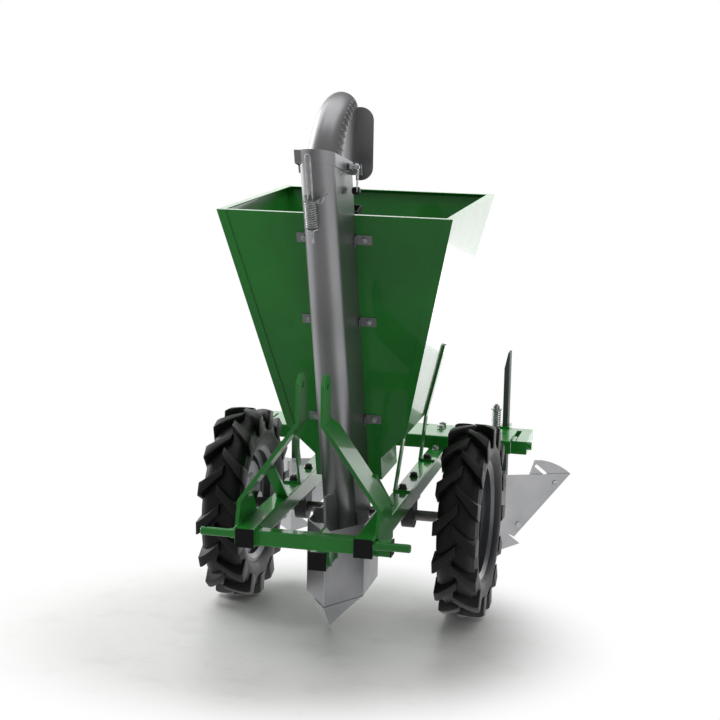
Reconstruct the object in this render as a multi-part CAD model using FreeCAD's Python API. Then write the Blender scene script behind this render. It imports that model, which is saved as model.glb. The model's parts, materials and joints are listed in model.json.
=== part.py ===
import FreeCAD, Part
import math
import os

V = FreeCAD.Vector
os.makedirs("parts", exist_ok=True)

# Sizes in millimetres. The machine is drawn level first: X across the row, Y rearward from the
# front ends of the side tubes, Z up from their top faces. At the end it is set down as it parks.

# side tubes, front cross tube and the plate that carries the ridgers
TUBE = 50.0
TUBE_WALL = 3.0
TUBE_SPACING = 314.0            # between the centre lines of the side tubes
TUBE_LENGTH = 1128.0
CAP_FACE = 3.0                  # thickness of a plastic end cap outside its tube
CAP_PLUG = 12.0                 # how far a cap reaches into its tube
CROSS = 40.0                    # square of the front cross tube
CROSS_SETBACK = 25.0            # from the front of the caps to the cross tube
CROSS_STUB = 40.0               # socket that stands out to the right of the right tube
TOOLBAR_LENGTH = 770.0
TOOLBAR_DEPTH = 156.0
TOOLBAR_HEIGHT = 40.0
TOOLBAR_WALL = 4.0
TOOLBAR_FRONT = 972.0
HOLE_PITCH = 50.0
TOOLBAR_HOLE = 13.0

# headstock
ARM_WIDTH = 92.0
ARM_PLATE = 10.0
ARM_SETBACK = CROSS_SETBACK + CROSS + 2.0
FOOT_FRONT = 27.0               # the arm's foot starts this far behind the caps, clear of the pin
ARM_BEND_LOW = 62.0             # height of the lower bend
ARM_BEND_HIGH = 278.0           # height of the upper bend
ARM_TOP = 402.0
CLEVIS_GAP = 56.0               # clear width between the two top link plates
CLEVIS_WIDTH = 66.0
CLEVIS_BORE_HEIGHT = 372.0
TOP_PIN_BORE = 20.0
BRACE_PLATE = 8.0
BRACE_WIDTH = 32.0
BRACE_HEIGHT = 126.0            # where the brace leaves the arm
BRACE_TOP_X = 138.0
BRACE_REACH = 168.0             # from the arm back to the brace's heel
PIN_DIAMETER = 22.0
PIN_LENGTH = 86.0
PIN_SETBACK = 12.0
PIN_DROP = 17.0
PIN_COLLAR = 25.0
PIN_COLLAR_LENGTH = 5.0
LINCH_HOLE = 8.0

# opener beam and hanger under the cross tube
BEAM_FRONT = 144.0
BEAM_TOP = -93.0
HANGER_PLATE = 8.0

# hopper
SHEET = 2.5
RIM_HEIGHT = 792.0
RIM_HALF_WIDTH = 318.0
RIM_FRONT = 260.0
RIM_REAR = 930.0
RIM_LIP = 20.0
WAIST_HEIGHT = 167.0
WAIST_HALF_WIDTH = 169.5
WAIST_REAR = 722.0
LEAN = 16.57                    # forward lean of the elevator and of the hopper's front panel
SEAM_FLANGE = 24.0
FUNNEL_HEIGHT = 91.0
TROUGH_HALF_WIDTH = 95.0
TROUGH_BOTTOM = 24.0

# legs of the hopper
LEG_WIDTH = 30.0
LEG_PLATE = 6.0
LEG_FOOT = 50.0
LEG_INSET = 14.0                # how far inside the hopper's waist the front leg ends
FRONT_FOOT = 460.0
REAR_FOOT = 812.0
STRAP_RISE = 210.0              # how far the rear leg reaches up the hopper's side

# elevator: duct, elbow, collar and cup chain, in a frame that leans with the duct
DUCT_SHEET = 2.5
DUCT_RADIUS = 46.0
DUCT_DEPTH = 108.0              # from the hopper's front panel to the centre of the round front
DUCT_FLARE = 58.0               # half width of the duct where it meets the panel
DUCT_BOTTOM = -900.0
DUCT_BACK = 30.0                # the duct is closed behind up to here, just under the roller
COLLAR_FRONT = 206.0            # height of the slanted joint at its front, along the duct
COLLAR_REAR = 115.0
COLLAR_HEIGHT = 36.0
COLLAR_PLATE = 3.0
COLLAR_EAR = 84.0
CATCH_REACH = 52.0              # the box on the left that the latch's loop pulls on
CATCH_DEPTH = 28.0
CHAIN_OFFSET = 50.0             # chain centre line behind the hopper's front panel
CHAIN_TOP = 108.0
CHAIN_RADIUS = 80.0
CHAIN_THICKNESS = 8.0
CHAIN_WIDTH = 25.0
CUP_LENGTH = 48.0
CUP_HALF_WIDTH = 32.0
CUP_HEIGHT = 26.0
CUP_PITCH = 145.0
ROLLER_CLEARANCE = 0.5          # between the roller and the inside of the chain
SPINDLE_DIAMETER = 20.0
HOOD_Y = 350.0                  # centre about which the elbow is bent
HOOD_Z = 865.0
HOOD_RADIUS = 195.0             # to the centre line of its round back
HOOD_START = 166.0              # directions in which it starts and ends, from rearward
HOOD_END = 92.0
EAR_REACH = 89.0                # the guard plate on the right of the hood's mouth
EAR_TOP = 1067.0
EAR_BOTTOM = 876.0
EAR_REAR = 330.0
EAR_ROUND = 35.0
TAB = 44.0
TAB_HEIGHT = 27.0
TAB_LEVELS = (726.0, 497.0, 210.0)

# opener
OPENER_SHEET = 4.0
NOSE_FRONT = 220.0
WING_DEPTH = 124.0
OPENER_HALF_WIDTH = 81.0
OPENER_REAR = 522.0
OPENER_TOP = -60.0
OPENER_REAR_TOP = -72.0
OPENER_BOTTOM = -271.0
FIN_FRONT_TOP = 42.0            # the upright plate that joins the nose to the duct
FIN_REAR_TOP = 20.0
FIN_BOTTOM = -140.0
FIN_PLATE = 6.0
SHARE_PLATE = 8.0
SHARE_LEFT = 44.0               # how far the share reaches along each wing
SHARE_DROP = 32.0
TIP_SETBACK = 68.0
TIP_DEPTH = 76.0

# running gear
AXLE_Y = 577.0
AXLE_Z = -98.0
AXLE_DIAMETER = 30.0
TRACK = 669.0
WHEEL_RADIUS = 273.0
TYRE_WIDTH = 122.0
TYRE_WALL = 12.0
RIM_FLANGE = 176.0
RIM_SEAT = 152.0
RIM_SHEET = 4.0
RIM_TAPER = 8.0                 # how far the rim's bead seat stands in from its flange
RIM_WIDTH = 84.0
HUB_DIAMETER = 62.0
HUB_INNER = 45.0                # how far the hub reaches from the wheel's middle, each way
HUB_OUTER = 8.0
RUNNING_CLEARANCE = 0.05        # radial, axle in its bearings
BEARING_WIDTH = 34.0
BEARING_BASE = 150.0
SPROCKET_CLEARANCE = 5.0

# ridgers
RIDGER_SPACING = 684.0
PIVOT_Y = 1010.0
PIVOT_Z = 20.0
PIVOT_DIAMETER = 16.0
PIVOT_CLEARANCE = 0.05
EAR_PLATE = 6.0
EAR_GAP = 31.0
ARM_TUBE = 30.0
ARM_GAP = 6.0                   # clear distance from the moving arm to the toolbar
SHANK_WIDTH = 40.0
SHANK_PLATE = 16.0
SHANK_TOP = 280.0
ROD_DIAMETER = 12.0
ROD_OFFSET = 30.0               # from the shank's middle to the spring rod
SPRING_RADIUS = 13.0
SPRING_WIRE = 4.0
SPRING_LENGTH = 60.0
SPRING_TURNS = 8
RIDGER_TOP = -105.0
RIDGER_BOTTOM = -350.0
RIDGER_SWEEP = 0.626            # how far a wing runs back for each millimetre sideways
RIDGER_SHEET = 3.0
# outlines of a wing, its adjustable end plate and the plate's slot: sideways, and up from the tubes
WING_OUTLINE = ((0, -105), (201, -117), (42, -310), (0, -283))
END_OUTLINE = ((95, -65), (118, -67), (140, -74), (158, -83), (174, -93), (190, -106), (201, -117),
               (60, -289), (36, -262))
SLOT_START = (101, -85)
SLOT_END = (128, -112)
SLOT_WIDTH = 10.0
WING_BOLTS = ((156, -144), (53, -270))
WING_HOLE = 9.0
NOSE_REACH = 31.5               # from the shank forward to the ridging body's front edge


def box(x0, x1, y0, y1, z0, z1):
    return Part.makeBox(x1 - x0, y1 - y0, z1 - z0, V(x0, y0, z0))


def rod(start, end, diameter):
    direction = V(*end) - V(*start)
    return Part.makeCylinder(diameter / 2, direction.Length, V(*start), direction)


def polygon(points):
    corners = [V(*p) for p in points]
    return Part.Face(Part.makePolygon(corners + corners[:1]))


def plate_yz(points, x0, x1):
    """A plate that stands across X, from its outline in Y and Z."""
    return polygon([(x0, y, z) for y, z in points]).extrude(V(x1 - x0, 0, 0))


def plate_xz(points, y0, y1):
    return polygon([(x, y0, z) for x, z in points]).extrude(V(0, y1 - y0, 0))


def sheet(corners, thickness, toward):
    """A flat panel whose outer face has these corners, thickened toward a point inside."""
    face = polygon(corners)
    normal = face.normalAt(0, 0)
    if normal.dot(V(*toward) - V(*corners[0])) < 0:
        normal = normal.negative()
    return face.extrude(normal * thickness)


def fuse(shapes):
    result = shapes[0].fuse(shapes[1:]) if len(shapes) > 1 else shapes[0]
    return result.removeSplitter()


def mirrored(shape):
    return shape.mirror(V(0, 0, 0), V(1, 0, 0))


def square_tube(x0, x1, y0, y1, z0, z1, wall, axis):
    """A hollow square tube with rounded corners, open at both ends along the axis."""
    outer = box(x0, x1, y0, y1, z0, z1)
    long_edges = [e for e in outer.Edges if abs(e.tangentAt(0).dot(axis)) > 0.9]
    outer = outer.makeFillet(wall * 1.5, long_edges)
    inset = V(wall, wall, wall) - V(abs(axis.x), abs(axis.y), abs(axis.z)) * (wall + 1)
    inner = box(x0 + inset.x, x1 - inset.x, y0 + inset.y, y1 - inset.y, z0 + inset.z, z1 - inset.z)
    return outer.cut(inner)


def revolved(profile, axis_point, x_axis=V(1, 0, 0)):
    """A ring from its outline of (x, radius) points, turned about an axis along X."""
    face = polygon([(x, axis_point[0], axis_point[1] + r) for x, r in profile])
    return face.revolve(V(0, *axis_point), x_axis, 360)


nodes = {}
half_spacing = TUBE_SPACING / 2
tube_outer = half_spacing + TUBE / 2
tube_inner = half_spacing - TUBE / 2
tube_front = CAP_FACE
tube_rear = tube_front + TUBE_LENGTH


# ---- frame tubes ---------------------------------------------------------------------------

def side_tube():
    return square_tube(tube_inner, tube_outer, tube_front, tube_rear, -TUBE, 0, TUBE_WALL, V(0, 1, 0))


nodes["right_side_tube"] = side_tube()
nodes["left_side_tube"] = mirrored(side_tube())

cross_top = -TUBE + CROSS
foot_outer = tube_outer + ARM_PLATE
cross_rear = CROSS_SETBACK + CROSS
stub_end = tube_outer + CROSS_STUB


def cross_tube(x0, x1):
    return square_tube(x0, x1, CROSS_SETBACK, cross_rear, -TUBE, cross_top, TUBE_WALL, V(1, 0, 0))


nodes["front_cross_tube"] = Part.makeCompound([cross_tube(-tube_inner, tube_inner),
                                               cross_tube(foot_outer, stub_end)])

toolbar_rear = TOOLBAR_FRONT + TOOLBAR_DEPTH
toolbar_end = TOOLBAR_LENGTH / 2


def rear_toolbar():
    outline = box(-toolbar_end, toolbar_end, TOOLBAR_FRONT, toolbar_rear, 0, TOOLBAR_HEIGHT)
    top_edges = [e for e in outline.Edges
                 if abs(e.tangentAt(0).x) > 0.9 and e.CenterOfMass.z > TOOLBAR_HEIGHT / 2]
    outline = outline.makeFillet(TOOLBAR_WALL * 1.2, top_edges)
    hollow = box(-toolbar_end - 1, toolbar_end + 1, TOOLBAR_FRONT + TOOLBAR_WALL,
                 toolbar_rear - TOOLBAR_WALL, -1, TOOLBAR_HEIGHT - TOOLBAR_WALL)
    channel = outline.cut(hollow)
    count = int((toolbar_end - HOLE_PITCH / 2) / HOLE_PITCH)
    for index in range(-count, count + 1):
        for row in (0.62, 0.86):
            y = TOOLBAR_FRONT + TOOLBAR_DEPTH * row
            x = index * HOLE_PITCH
            channel = channel.cut(rod((x, y, 0), (x, y, TOOLBAR_HEIGHT + 1), TOOLBAR_HOLE))
    return channel


nodes["rear_toolbar"] = rear_toolbar()


# ---- headstock -----------------------------------------------------------------------------

clevis_inner = CLEVIS_GAP / 2
clevis_outer = clevis_inner + ARM_PLATE
arm_rear = ARM_SETBACK + ARM_WIDTH
clevis_y = ARM_SETBACK - 17.0 + CLEVIS_WIDTH / 2


def headstock_arm():
    outline = [(foot_outer, -TUBE), (foot_outer, ARM_BEND_LOW), (clevis_outer, ARM_BEND_HIGH),
               (clevis_outer, ARM_TOP), (clevis_inner, ARM_TOP), (clevis_inner, ARM_BEND_HIGH - 4),
               (tube_outer, ARM_BEND_LOW - 4), (tube_outer, -TUBE)]
    arm = plate_xz(outline, ARM_SETBACK - 17, arm_rear)
    # the bar narrows from its full width at the foot to the clevis at the top
    front = ARM_SETBACK - 17
    side = [(FOOT_FRONT, -TUBE), (FOOT_FRONT, -4), (front, ARM_BEND_LOW), (front, ARM_TOP - 22),
            (front + 22, ARM_TOP), (front + CLEVIS_WIDTH - 22, ARM_TOP),
            (front + CLEVIS_WIDTH, ARM_TOP - 22), (front + CLEVIS_WIDTH, ARM_BEND_HIGH + 12),
            (arm_rear, ARM_BEND_HIGH - 20), (arm_rear, ARM_BEND_LOW), (arm_rear + 40, -10),
            (arm_rear + 40, -TUBE)]
    foot = box(tube_outer, foot_outer, CAP_FACE, arm_rear + 40, -TUBE, ARM_BEND_LOW - 4)
    arm = arm.fuse(foot).common(plate_yz(side, 0, foot_outer + 1))
    arm = arm.cut(rod((0, clevis_y, CLEVIS_BORE_HEIGHT), (60, clevis_y, CLEVIS_BORE_HEIGHT), TOP_PIN_BORE))
    # flat brace from the slanted part of the arm down to the top of the side tube
    start = V(half_spacing - 10, arm_rear + BRACE_REACH, 0)
    along = V(BRACE_TOP_X, arm_rear, BRACE_HEIGHT) - start
    unit = V(along).normalize()
    across = V(1, 0, 0) * (BRACE_WIDTH / 2)
    depth = unit.cross(V(1, 0, 0)).normalize() * (BRACE_PLATE / 2)
    base = start - unit * 20
    ends = [base - across - depth, base + across - depth, base + across + depth, base - across + depth]
    brace = polygon([tuple(p) for p in ends]).extrude(along + unit * 40)
    brace = brace.common(box(0, 400, arm_rear, 800, 0, 400))
    return arm.fuse(brace).removeSplitter()


def lower_link_pin():
    y = PIN_SETBACK
    z = -PIN_DROP
    tip = foot_outer + PIN_LENGTH
    pin = rod((tube_outer, y, z), (tip, y, z), PIN_DIAMETER)
    pin = pin.makeChamfer(2.0, [e for e in pin.Edges if len(e.Vertexes) == 1 and e.CenterOfMass.x > tip - 1])
    collar = rod((tube_outer, y, z), (foot_outer + PIN_COLLAR_LENGTH, y, z), PIN_COLLAR)
    hole = rod((tip - 14, y, z - PIN_DIAMETER), (tip - 14, y, z + PIN_DIAMETER), LINCH_HOLE)
    return pin.fuse(collar).cut(hole).removeSplitter()


nodes["right_headstock_arm"] = headstock_arm()
nodes["left_headstock_arm"] = mirrored(headstock_arm())


# ---- opener beam ---------------------------------------------------------------------------

beam_bottom = BEAM_TOP - TUBE
beam_half = TUBE / 2


def wing_y(x):
    """Where the opener's V shaped front stands, at a distance from its middle."""
    return NOSE_FRONT + WING_DEPTH * abs(x) / OPENER_HALF_WIDTH


def boot_void():
    """Everything inside and behind the outer faces of the opener's V front."""
    points = [(0, NOSE_FRONT), (OPENER_HALF_WIDTH, wing_y(OPENER_HALF_WIDTH)),
              (OPENER_HALF_WIDTH, OPENER_REAR + 100), (-OPENER_HALF_WIDTH, OPENER_REAR + 100),
              (-OPENER_HALF_WIDTH, wing_y(OPENER_HALF_WIDTH))]
    return polygon([(x, y, -600) for x, y in points]).extrude(V(0, 0, 1200))


beam = square_tube(-beam_half, beam_half, BEAM_FRONT + CAP_FACE, wing_y(beam_half), beam_bottom, BEAM_TOP,
                   TUBE_WALL, V(0, 1, 0))
nodes["opener_beam"] = beam.cut(boot_void())


def hanger():
    front = BEAM_FRONT + CAP_FACE
    points = [(cross_rear, cross_top), (cross_rear, -TUBE), (front, BEAM_TOP + 26), (front, BEAM_TOP - 8),
              (front + 26, beam_bottom + 6), (front + 50, BEAM_TOP - 8), (front + 50, BEAM_TOP + 30),
              (cross_rear + 44, cross_top)]
    return plate_yz(points, beam_half, beam_half + HANGER_PLATE)


nodes["opener_hanger"] = hanger()


# ---- end caps ------------------------------------------------------------------------------

def end_cap(centre, axis, size, wall):
    """A black plastic cap: a face over the tube's end and a plug inside it."""
    half = size / 2
    plug = half - wall - 0.4
    x, y, z = centre
    if axis == "y":
        face = box(x - half, x + half, y - CAP_FACE, y, z - half, z + half)
        inner = box(x - plug, x + plug, y, y + CAP_PLUG, z - plug, z + plug)
    else:
        sign = 1 if axis == "+x" else -1
        x0, x1 = sorted((x, x + sign * CAP_FACE))
        face = box(x0, x1, y - half, y + half, z - half, z + half)
        x0, x1 = sorted((x, x - sign * CAP_PLUG))
        inner = box(x0, x1, y - plug, y + plug, z - plug, z + plug)
    return face.fuse(inner).removeSplitter()


cross_mid = (CROSS_SETBACK + CROSS / 2, -TUBE + CROSS / 2)
caps = [end_cap((half_spacing, tube_front, -TUBE / 2), "y", TUBE, TUBE_WALL),
        end_cap((-half_spacing, tube_front, -TUBE / 2), "y", TUBE, TUBE_WALL),
        end_cap((0, BEAM_FRONT + CAP_FACE, BEAM_TOP - TUBE / 2), "y", TUBE, TUBE_WALL),
        end_cap((stub_end, *cross_mid), "+x", CROSS, TUBE_WALL)]
nodes["tube_end_caps"] = Part.makeCompound(caps)
nodes["lower_link_pins"] = Part.makeCompound([lower_link_pin(), mirrored(lower_link_pin())])


# ---- hopper --------------------------------------------------------------------------------

lean = math.radians(LEAN)
front_slope = math.tan(lean)


def front_y(z):
    """The hopper's front panel, which leans with the elevator."""
    return RIM_FRONT + (RIM_HEIGHT - z) * front_slope


def rear_y(z):
    return RIM_REAR + (WAIST_REAR - RIM_REAR) * (RIM_HEIGHT - z) / (RIM_HEIGHT - WAIST_HEIGHT)


def half_width(z):
    share = (RIM_HEIGHT - z) / (RIM_HEIGHT - WAIST_HEIGHT)
    return RIM_HALF_WIDTH + (WAIST_HALF_WIDTH - RIM_HALF_WIDTH) * share


def hopper_block(inset, front, rear, z0, z1):
    """The hopper's outer form between two heights, with its sides, front and rear moved inwards."""
    def ring(z):
        half = half_width(z) - inset
        y0, y1 = front_y(z) + front, rear_y(z) - rear
        corners = [V(-half, y0, z), V(half, y0, z), V(half, y1, z), V(-half, y1, z)]
        return Part.makePolygon(corners + corners[:1])
    return Part.makeLoft([ring(z0), ring(z1)], True, True)


def larger_right_piece(shape):
    return max((s for s in shape.Solids if s.CenterOfMass.x > 0), key=lambda s: s.Volume)


def hopper_panels():
    z0, z1 = WAIST_HEIGHT, RIM_HEIGHT
    fold = SHEET / math.cos(lean)
    far = 60.0
    form = hopper_block(0, 0, 0, z0, z1)
    # the side panel reaches past the front one and is folded over its edge
    folded = hopper_block(0, -fold, 0, z0, z1)
    side = larger_right_piece(folded.cut(hopper_block(SHEET, -far, -far, z0 - 10, z1 + 10)))
    flange = folded.cut(hopper_block(-far, 0, -far, z0 - 10, z1 + 10))
    flange = larger_right_piece(flange.cut(hopper_block(SEAM_FLANGE, -far, -far, z0 - 10, z1 + 10)))
    side = side.fuse(flange)
    between = form.common(hopper_block(SHEET, -far, -far, z0, z1))
    front = between.cut(hopper_block(-far, fold, -far, z0 - 10, z1 + 10))
    rear = between.cut(hopper_block(-far, -far, fold, z0 - 10, z1 + 10))
    # lips folded in around the mouth
    low = z1 - SHEET
    start = half_width(low) - 1.0
    end = RIM_HALF_WIDTH - RIM_LIP
    side = side.fuse(box(end, start, RIM_FRONT + 2 * fold, RIM_REAR - 2 * fold, low, z1))
    front = front.fuse(box(-end, end, front_y(low) + 1.0, RIM_FRONT + RIM_LIP, low, z1))
    rear = rear.fuse(box(-end, end, RIM_REAR - RIM_LIP, rear_y(low) - 1.0, low, z1))
    return front.removeSplitter(), rear.removeSplitter(), side.removeSplitter()


hopper_front, hopper_rear, hopper_side = hopper_panels()
nodes["hopper_front_panel"] = hopper_front
nodes["hopper_rear_panel"] = hopper_rear
nodes["hopper_right_panel"] = hopper_side
nodes["hopper_left_panel"] = mirrored(hopper_side)

trough_depth = (CHAIN_OFFSET + CHAIN_RADIUS + CUP_LENGTH + 12.0) / math.cos(lean)


def frustum(grow):
    """The funnel under the panels, shrunk by the sheet's thickness for its inside."""
    def ring(half, front, rear, z):
        points = [(-half + grow, front + grow, z), (half - grow, front + grow, z),
                  (half - grow, rear - grow, z), (-half + grow, rear - grow, z)]
        corners = [V(*p) for p in points]
        return Part.makePolygon(corners + corners[:1])
    bottom_front = front_y(FUNNEL_HEIGHT)
    top = ring(WAIST_HALF_WIDTH, front_y(WAIST_HEIGHT), WAIST_REAR, WAIST_HEIGHT)
    bottom = ring(TROUGH_HALF_WIDTH, bottom_front, bottom_front + trough_depth, FUNNEL_HEIGHT)
    return Part.makeLoft([bottom, top], True, True)


nodes["hopper_funnel"] = frustum(0).cut(frustum(SHEET))


def elevator_trough():
    def prism(inset, low, high):
        points = [(front_y(low) + inset, low), (front_y(high) + inset, high),
                  (front_y(high) + trough_depth - inset, high), (front_y(low) + trough_depth - inset, low)]
        return plate_yz(points, -TROUGH_HALF_WIDTH + inset, TROUGH_HALF_WIDTH - inset)
    return prism(0, TROUGH_BOTTOM, FUNNEL_HEIGHT).cut(prism(SHEET, TROUGH_BOTTOM - 1, FUNNEL_HEIGHT + 1))


nodes["elevator_trough"] = elevator_trough()


def hopper_leg(foot_y, top_y, top_z, over=0.0):
    """A bent flat bar from a foot bolted to the side tube up to the hopper, and along its side."""
    foot_x = tube_inner + 1.0
    out = LEG_PLATE
    top_x = half_width(top_z) + 0.5 if over else half_width(top_z) - LEG_INSET

    def outline(x, y, z):
        corners = [V(x, y, z), V(x + out, y, z), V(x + out, y + LEG_WIDTH, z), V(x, y + LEG_WIDTH, z)]
        return Part.makePolygon(corners + corners[:1])
    pieces = [Part.makeLoft([outline(foot_x, foot_y, 0), outline(top_x, top_y, top_z)], True, True),
              box(foot_x, foot_x + LEG_FOOT, foot_y, foot_y + LEG_WIDTH, 0, LEG_PLATE)]
    if over:
        end_x = half_width(top_z + over) + 0.5
        pieces.append(Part.makeLoft([outline(top_x, top_y, top_z), outline(end_x, top_y, top_z + over)],
                                    True, True))
    return fuse(pieces).cut(frustum(0))


right_legs = [hopper_leg(FRONT_FOOT, 462, WAIST_HEIGHT), hopper_leg(REAR_FOOT, 700, 165, STRAP_RISE)]
nodes["hopper_legs"] = Part.makeCompound(right_legs + [mirrored(s) for s in right_legs])


# ---- elevator ------------------------------------------------------------------------------

def elevator(shape):
    """Places a shape from the elevator's own frame: Y off the hopper's panel, Z along the duct."""
    moved = shape.copy()
    moved.rotate(V(0, 0, 0), V(1, 0, 0), LEAN)
    moved.translate(V(0, RIM_FRONT, RIM_HEIGHT))
    return moved


def elevator_point(x, y, z):
    c, s = math.cos(lean), math.sin(lean)
    return (x, RIM_FRONT + y * c - z * s, RIM_HEIGHT + y * s + z * c)


def duct_outline(grow, back=0.0):
    """Cross section of the duct: a round front and sides that spread towards the panel."""
    r = DUCT_RADIUS + grow
    spread = r + (DUCT_FLARE - DUCT_RADIUS) * (DUCT_DEPTH + back) / DUCT_DEPTH
    front = Part.Arc(V(r, -DUCT_DEPTH, 0), V(0, -DUCT_DEPTH - r, 0), V(-r, -DUCT_DEPTH, 0))
    edges = [front.toShape(), Part.makeLine(V(-r, -DUCT_DEPTH, 0), V(-spread, back, 0)),
             Part.makeLine(V(-spread, back, 0), V(spread, back, 0)),
             Part.makeLine(V(spread, back, 0), V(r, -DUCT_DEPTH, 0))]
    return Part.Face(Part.Wire(edges))


def duct_column(grow, low, high, back=0.0):
    column = duct_outline(grow, back).extrude(V(0, 0, high - low))
    column.translate(V(0, 0, low))
    return column


def above_joint(offset):
    """The space above the slanted joint between duct and elbow."""
    drop = (COLLAR_FRONT - COLLAR_REAR) / (DUCT_DEPTH + DUCT_RADIUS)
    y0, y1 = -400.0, 300.0
    front = COLLAR_FRONT - drop * (y0 + DUCT_DEPTH + DUCT_RADIUS) + offset
    rear = COLLAR_FRONT - drop * (y1 + DUCT_DEPTH + DUCT_RADIUS) + offset
    return plate_yz([(y0, front), (y1, rear), (y1, 900), (y0, 900)], -300, 300)


def seed_duct():
    shell = duct_column(0, DUCT_BOTTOM, 300).cut(duct_column(-DUCT_SHEET, DUCT_BOTTOM - 1, 301, 1.0))
    shell = shell.cut(box(-DUCT_FLARE - 1, DUCT_FLARE + 1, -0.2, 1, DUCT_BOTTOM - 1, 301))
    shell = shell.cut(above_joint(0))
    back = box(-DUCT_FLARE + DUCT_SHEET, DUCT_FLARE - DUCT_SHEET, -DUCT_SHEET, -0.2, 4, DUCT_BACK)
    shell = shell.fuse(back)
    return shell.removeSplitter()


nodes["seed_duct"] = elevator(seed_duct())


def above_band(offset):
    """The space above a height on the collar, in the machine's frame."""
    return elevator(above_joint(offset))


def hood_sweep(radius, margin):
    """Half pipe bent about the hood's centre, with flat cheeks in to that centre."""
    middle = HOOD_Y - HOOD_RADIUS
    arc = Part.Arc(V(radius, middle, HOOD_Z), V(0, middle - radius, HOOD_Z), V(-radius, middle, HOOD_Z))
    inner = HOOD_Y - 2.0
    edges = [arc.toShape(), Part.makeLine(V(-radius, middle, HOOD_Z), V(-radius, inner, HOOD_Z)),
             Part.makeLine(V(-radius, inner, HOOD_Z), V(radius, inner, HOOD_Z)),
             Part.makeLine(V(radius, inner, HOOD_Z), V(radius, middle, HOOD_Z))]
    face = Part.Face(Part.Wire(edges))
    axis_point = V(0, HOOD_Y, HOOD_Z)
    face.rotate(axis_point, V(1, 0, 0), HOOD_START + margin - 180)
    return face.revolve(axis_point, V(1, 0, 0), HOOD_END - HOOD_START - 2 * margin)


def duct_elbow():
    """Hood over the roller: a bent half pipe with flat cheeks, and a guard plate on the right."""
    shell = hood_sweep(DUCT_RADIUS, 0).cut(hood_sweep(DUCT_RADIUS - DUCT_SHEET, 8))
    shell = shell.cut(hood_sweep(DUCT_RADIUS - DUCT_SHEET, -8))
    # the cheeks stop at the mouth and just above the hopper
    keep = plate_yz([(0, 0), (EAR_REAR, 0), (EAR_REAR, 1400), (0, 1400)], -DUCT_RADIUS, DUCT_RADIUS)
    keep = keep.common(plate_yz([(0, EAR_BOTTOM), (500, EAR_BOTTOM), (500, 1400), (0, 1400)], -200, 200))
    shell = shell.common(keep)
    cheek = polygon([(0, *p) for p in cheek_outline()]).extrude(V(DUCT_SHEET, 0, 0))
    cheek.translate(V(DUCT_RADIUS - DUCT_SHEET, 0, 0))
    ear = box(DUCT_RADIUS - DUCT_SHEET, EAR_REACH, EAR_REAR - DUCT_SHEET, EAR_REAR, EAR_BOTTOM, EAR_TOP)
    ear = ear.makeFillet(EAR_ROUND, [e for e in ear.Edges if e.CenterOfMass.x > EAR_REACH - 1
                                     and abs(e.tangentAt(0).y) > 0.9])
    hood = fuse([fuse([shell, cheek, mirrored(cheek)]).common(above_band(COLLAR_HEIGHT / 2)), ear])
    axis = elevator_point(0, CHAIN_OFFSET, CHAIN_TOP)
    bore = SPINDLE_DIAMETER + 2 * RUNNING_CLEARANCE
    hood = hood.cut(rod((-200, axis[1], axis[2]), (200, axis[1], axis[2]), bore))
    return max(hood.Solids, key=lambda s: s.Volume)


def cheek_outline():
    """The flat side of the hood, from the round back's crease to the ears and the collar."""
    def crease(angle):
        a = math.radians(angle)
        return (HOOD_Y + (HOOD_RADIUS + 1) * math.cos(a), HOOD_Z + (HOOD_RADIUS + 1) * math.sin(a))
    steps = [crease(HOOD_START - k * (HOOD_START - HOOD_END - 6) / 8) for k in range(9)]
    return steps + [(EAR_REAR, EAR_TOP), (EAR_REAR, EAR_BOTTOM), (steps[0][0], EAR_BOTTOM)]


def duct_collar():
    """A band round the joint of duct and hood, with ears at the back and a catch box on the left."""
    band = duct_column(COLLAR_PLATE, 0, 400).cut(duct_column(0.0, -1, 401, 3.0))
    band = band.common(above_joint(-4)).cut(above_joint(COLLAR_HEIGHT - 4))
    # a flat ledge closes the band on top, round the foot of the hood
    ledge = duct_column(1.0, 0, 400).common(above_joint(COLLAR_HEIGHT - 4 - COLLAR_PLATE))
    ledge = ledge.cut(above_joint(COLLAR_HEIGHT - 4))
    hood = plate_yz([(HOOD_Y - HOOD_RADIUS, 700), (600, 700), (600, 1400), (HOOD_Y - HOOD_RADIUS, 1400)],
                    -DUCT_RADIUS, DUCT_RADIUS)
    band = elevator(band.fuse(ledge)).cut(hood_sweep(DUCT_RADIUS, -8)).cut(hood)
    ears = box(DUCT_FLARE, COLLAR_EAR, -COLLAR_PLATE, -0.2, COLLAR_REAR - 2, COLLAR_REAR + 26)
    front = -DUCT_DEPTH - 33.0
    inner = duct_column(0.2, 0, 400)
    catch = box(-CATCH_REACH, -30, front, front + CATCH_DEPTH, 0, 400)
    catch = catch.common(above_joint(-4)).cut(above_joint(COLLAR_HEIGHT - 4))
    hollow = box(-CATCH_REACH + COLLAR_PLATE, -20, front + COLLAR_PLATE, front + CATCH_DEPTH + 1, 0, 400)
    catch = catch.cut(hollow.cut(above_joint(COLLAR_HEIGHT - 4 - COLLAR_PLATE))).cut(inner)
    return fuse([band, elevator(fuse([ears, mirrored(ears)])), elevator(catch)])


nodes["duct_elbow"] = duct_elbow()
nodes["duct_collar"] = duct_collar().cut([nodes["duct_elbow"], nodes["seed_duct"]])


def duct_tab(z):
    """Angle bracket that bolts the duct to the hopper's front panel."""
    local_z = (z - RIM_HEIGHT) / math.cos(lean)
    flat = box(DUCT_FLARE, DUCT_FLARE + TAB, -SHEET, 0, local_z - TAB_HEIGHT / 2, local_z + TAB_HEIGHT / 2)
    ear = box(DUCT_FLARE, DUCT_FLARE + SHEET, -18, -SHEET, local_z - TAB_HEIGHT / 2, local_z + TAB_HEIGHT / 2)
    hole = rod((DUCT_FLARE + TAB * 0.6, -10, local_z), (DUCT_FLARE + TAB * 0.6, 5, local_z), 9)
    return elevator(flat.fuse(ear).cut(hole).removeSplitter())


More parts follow.
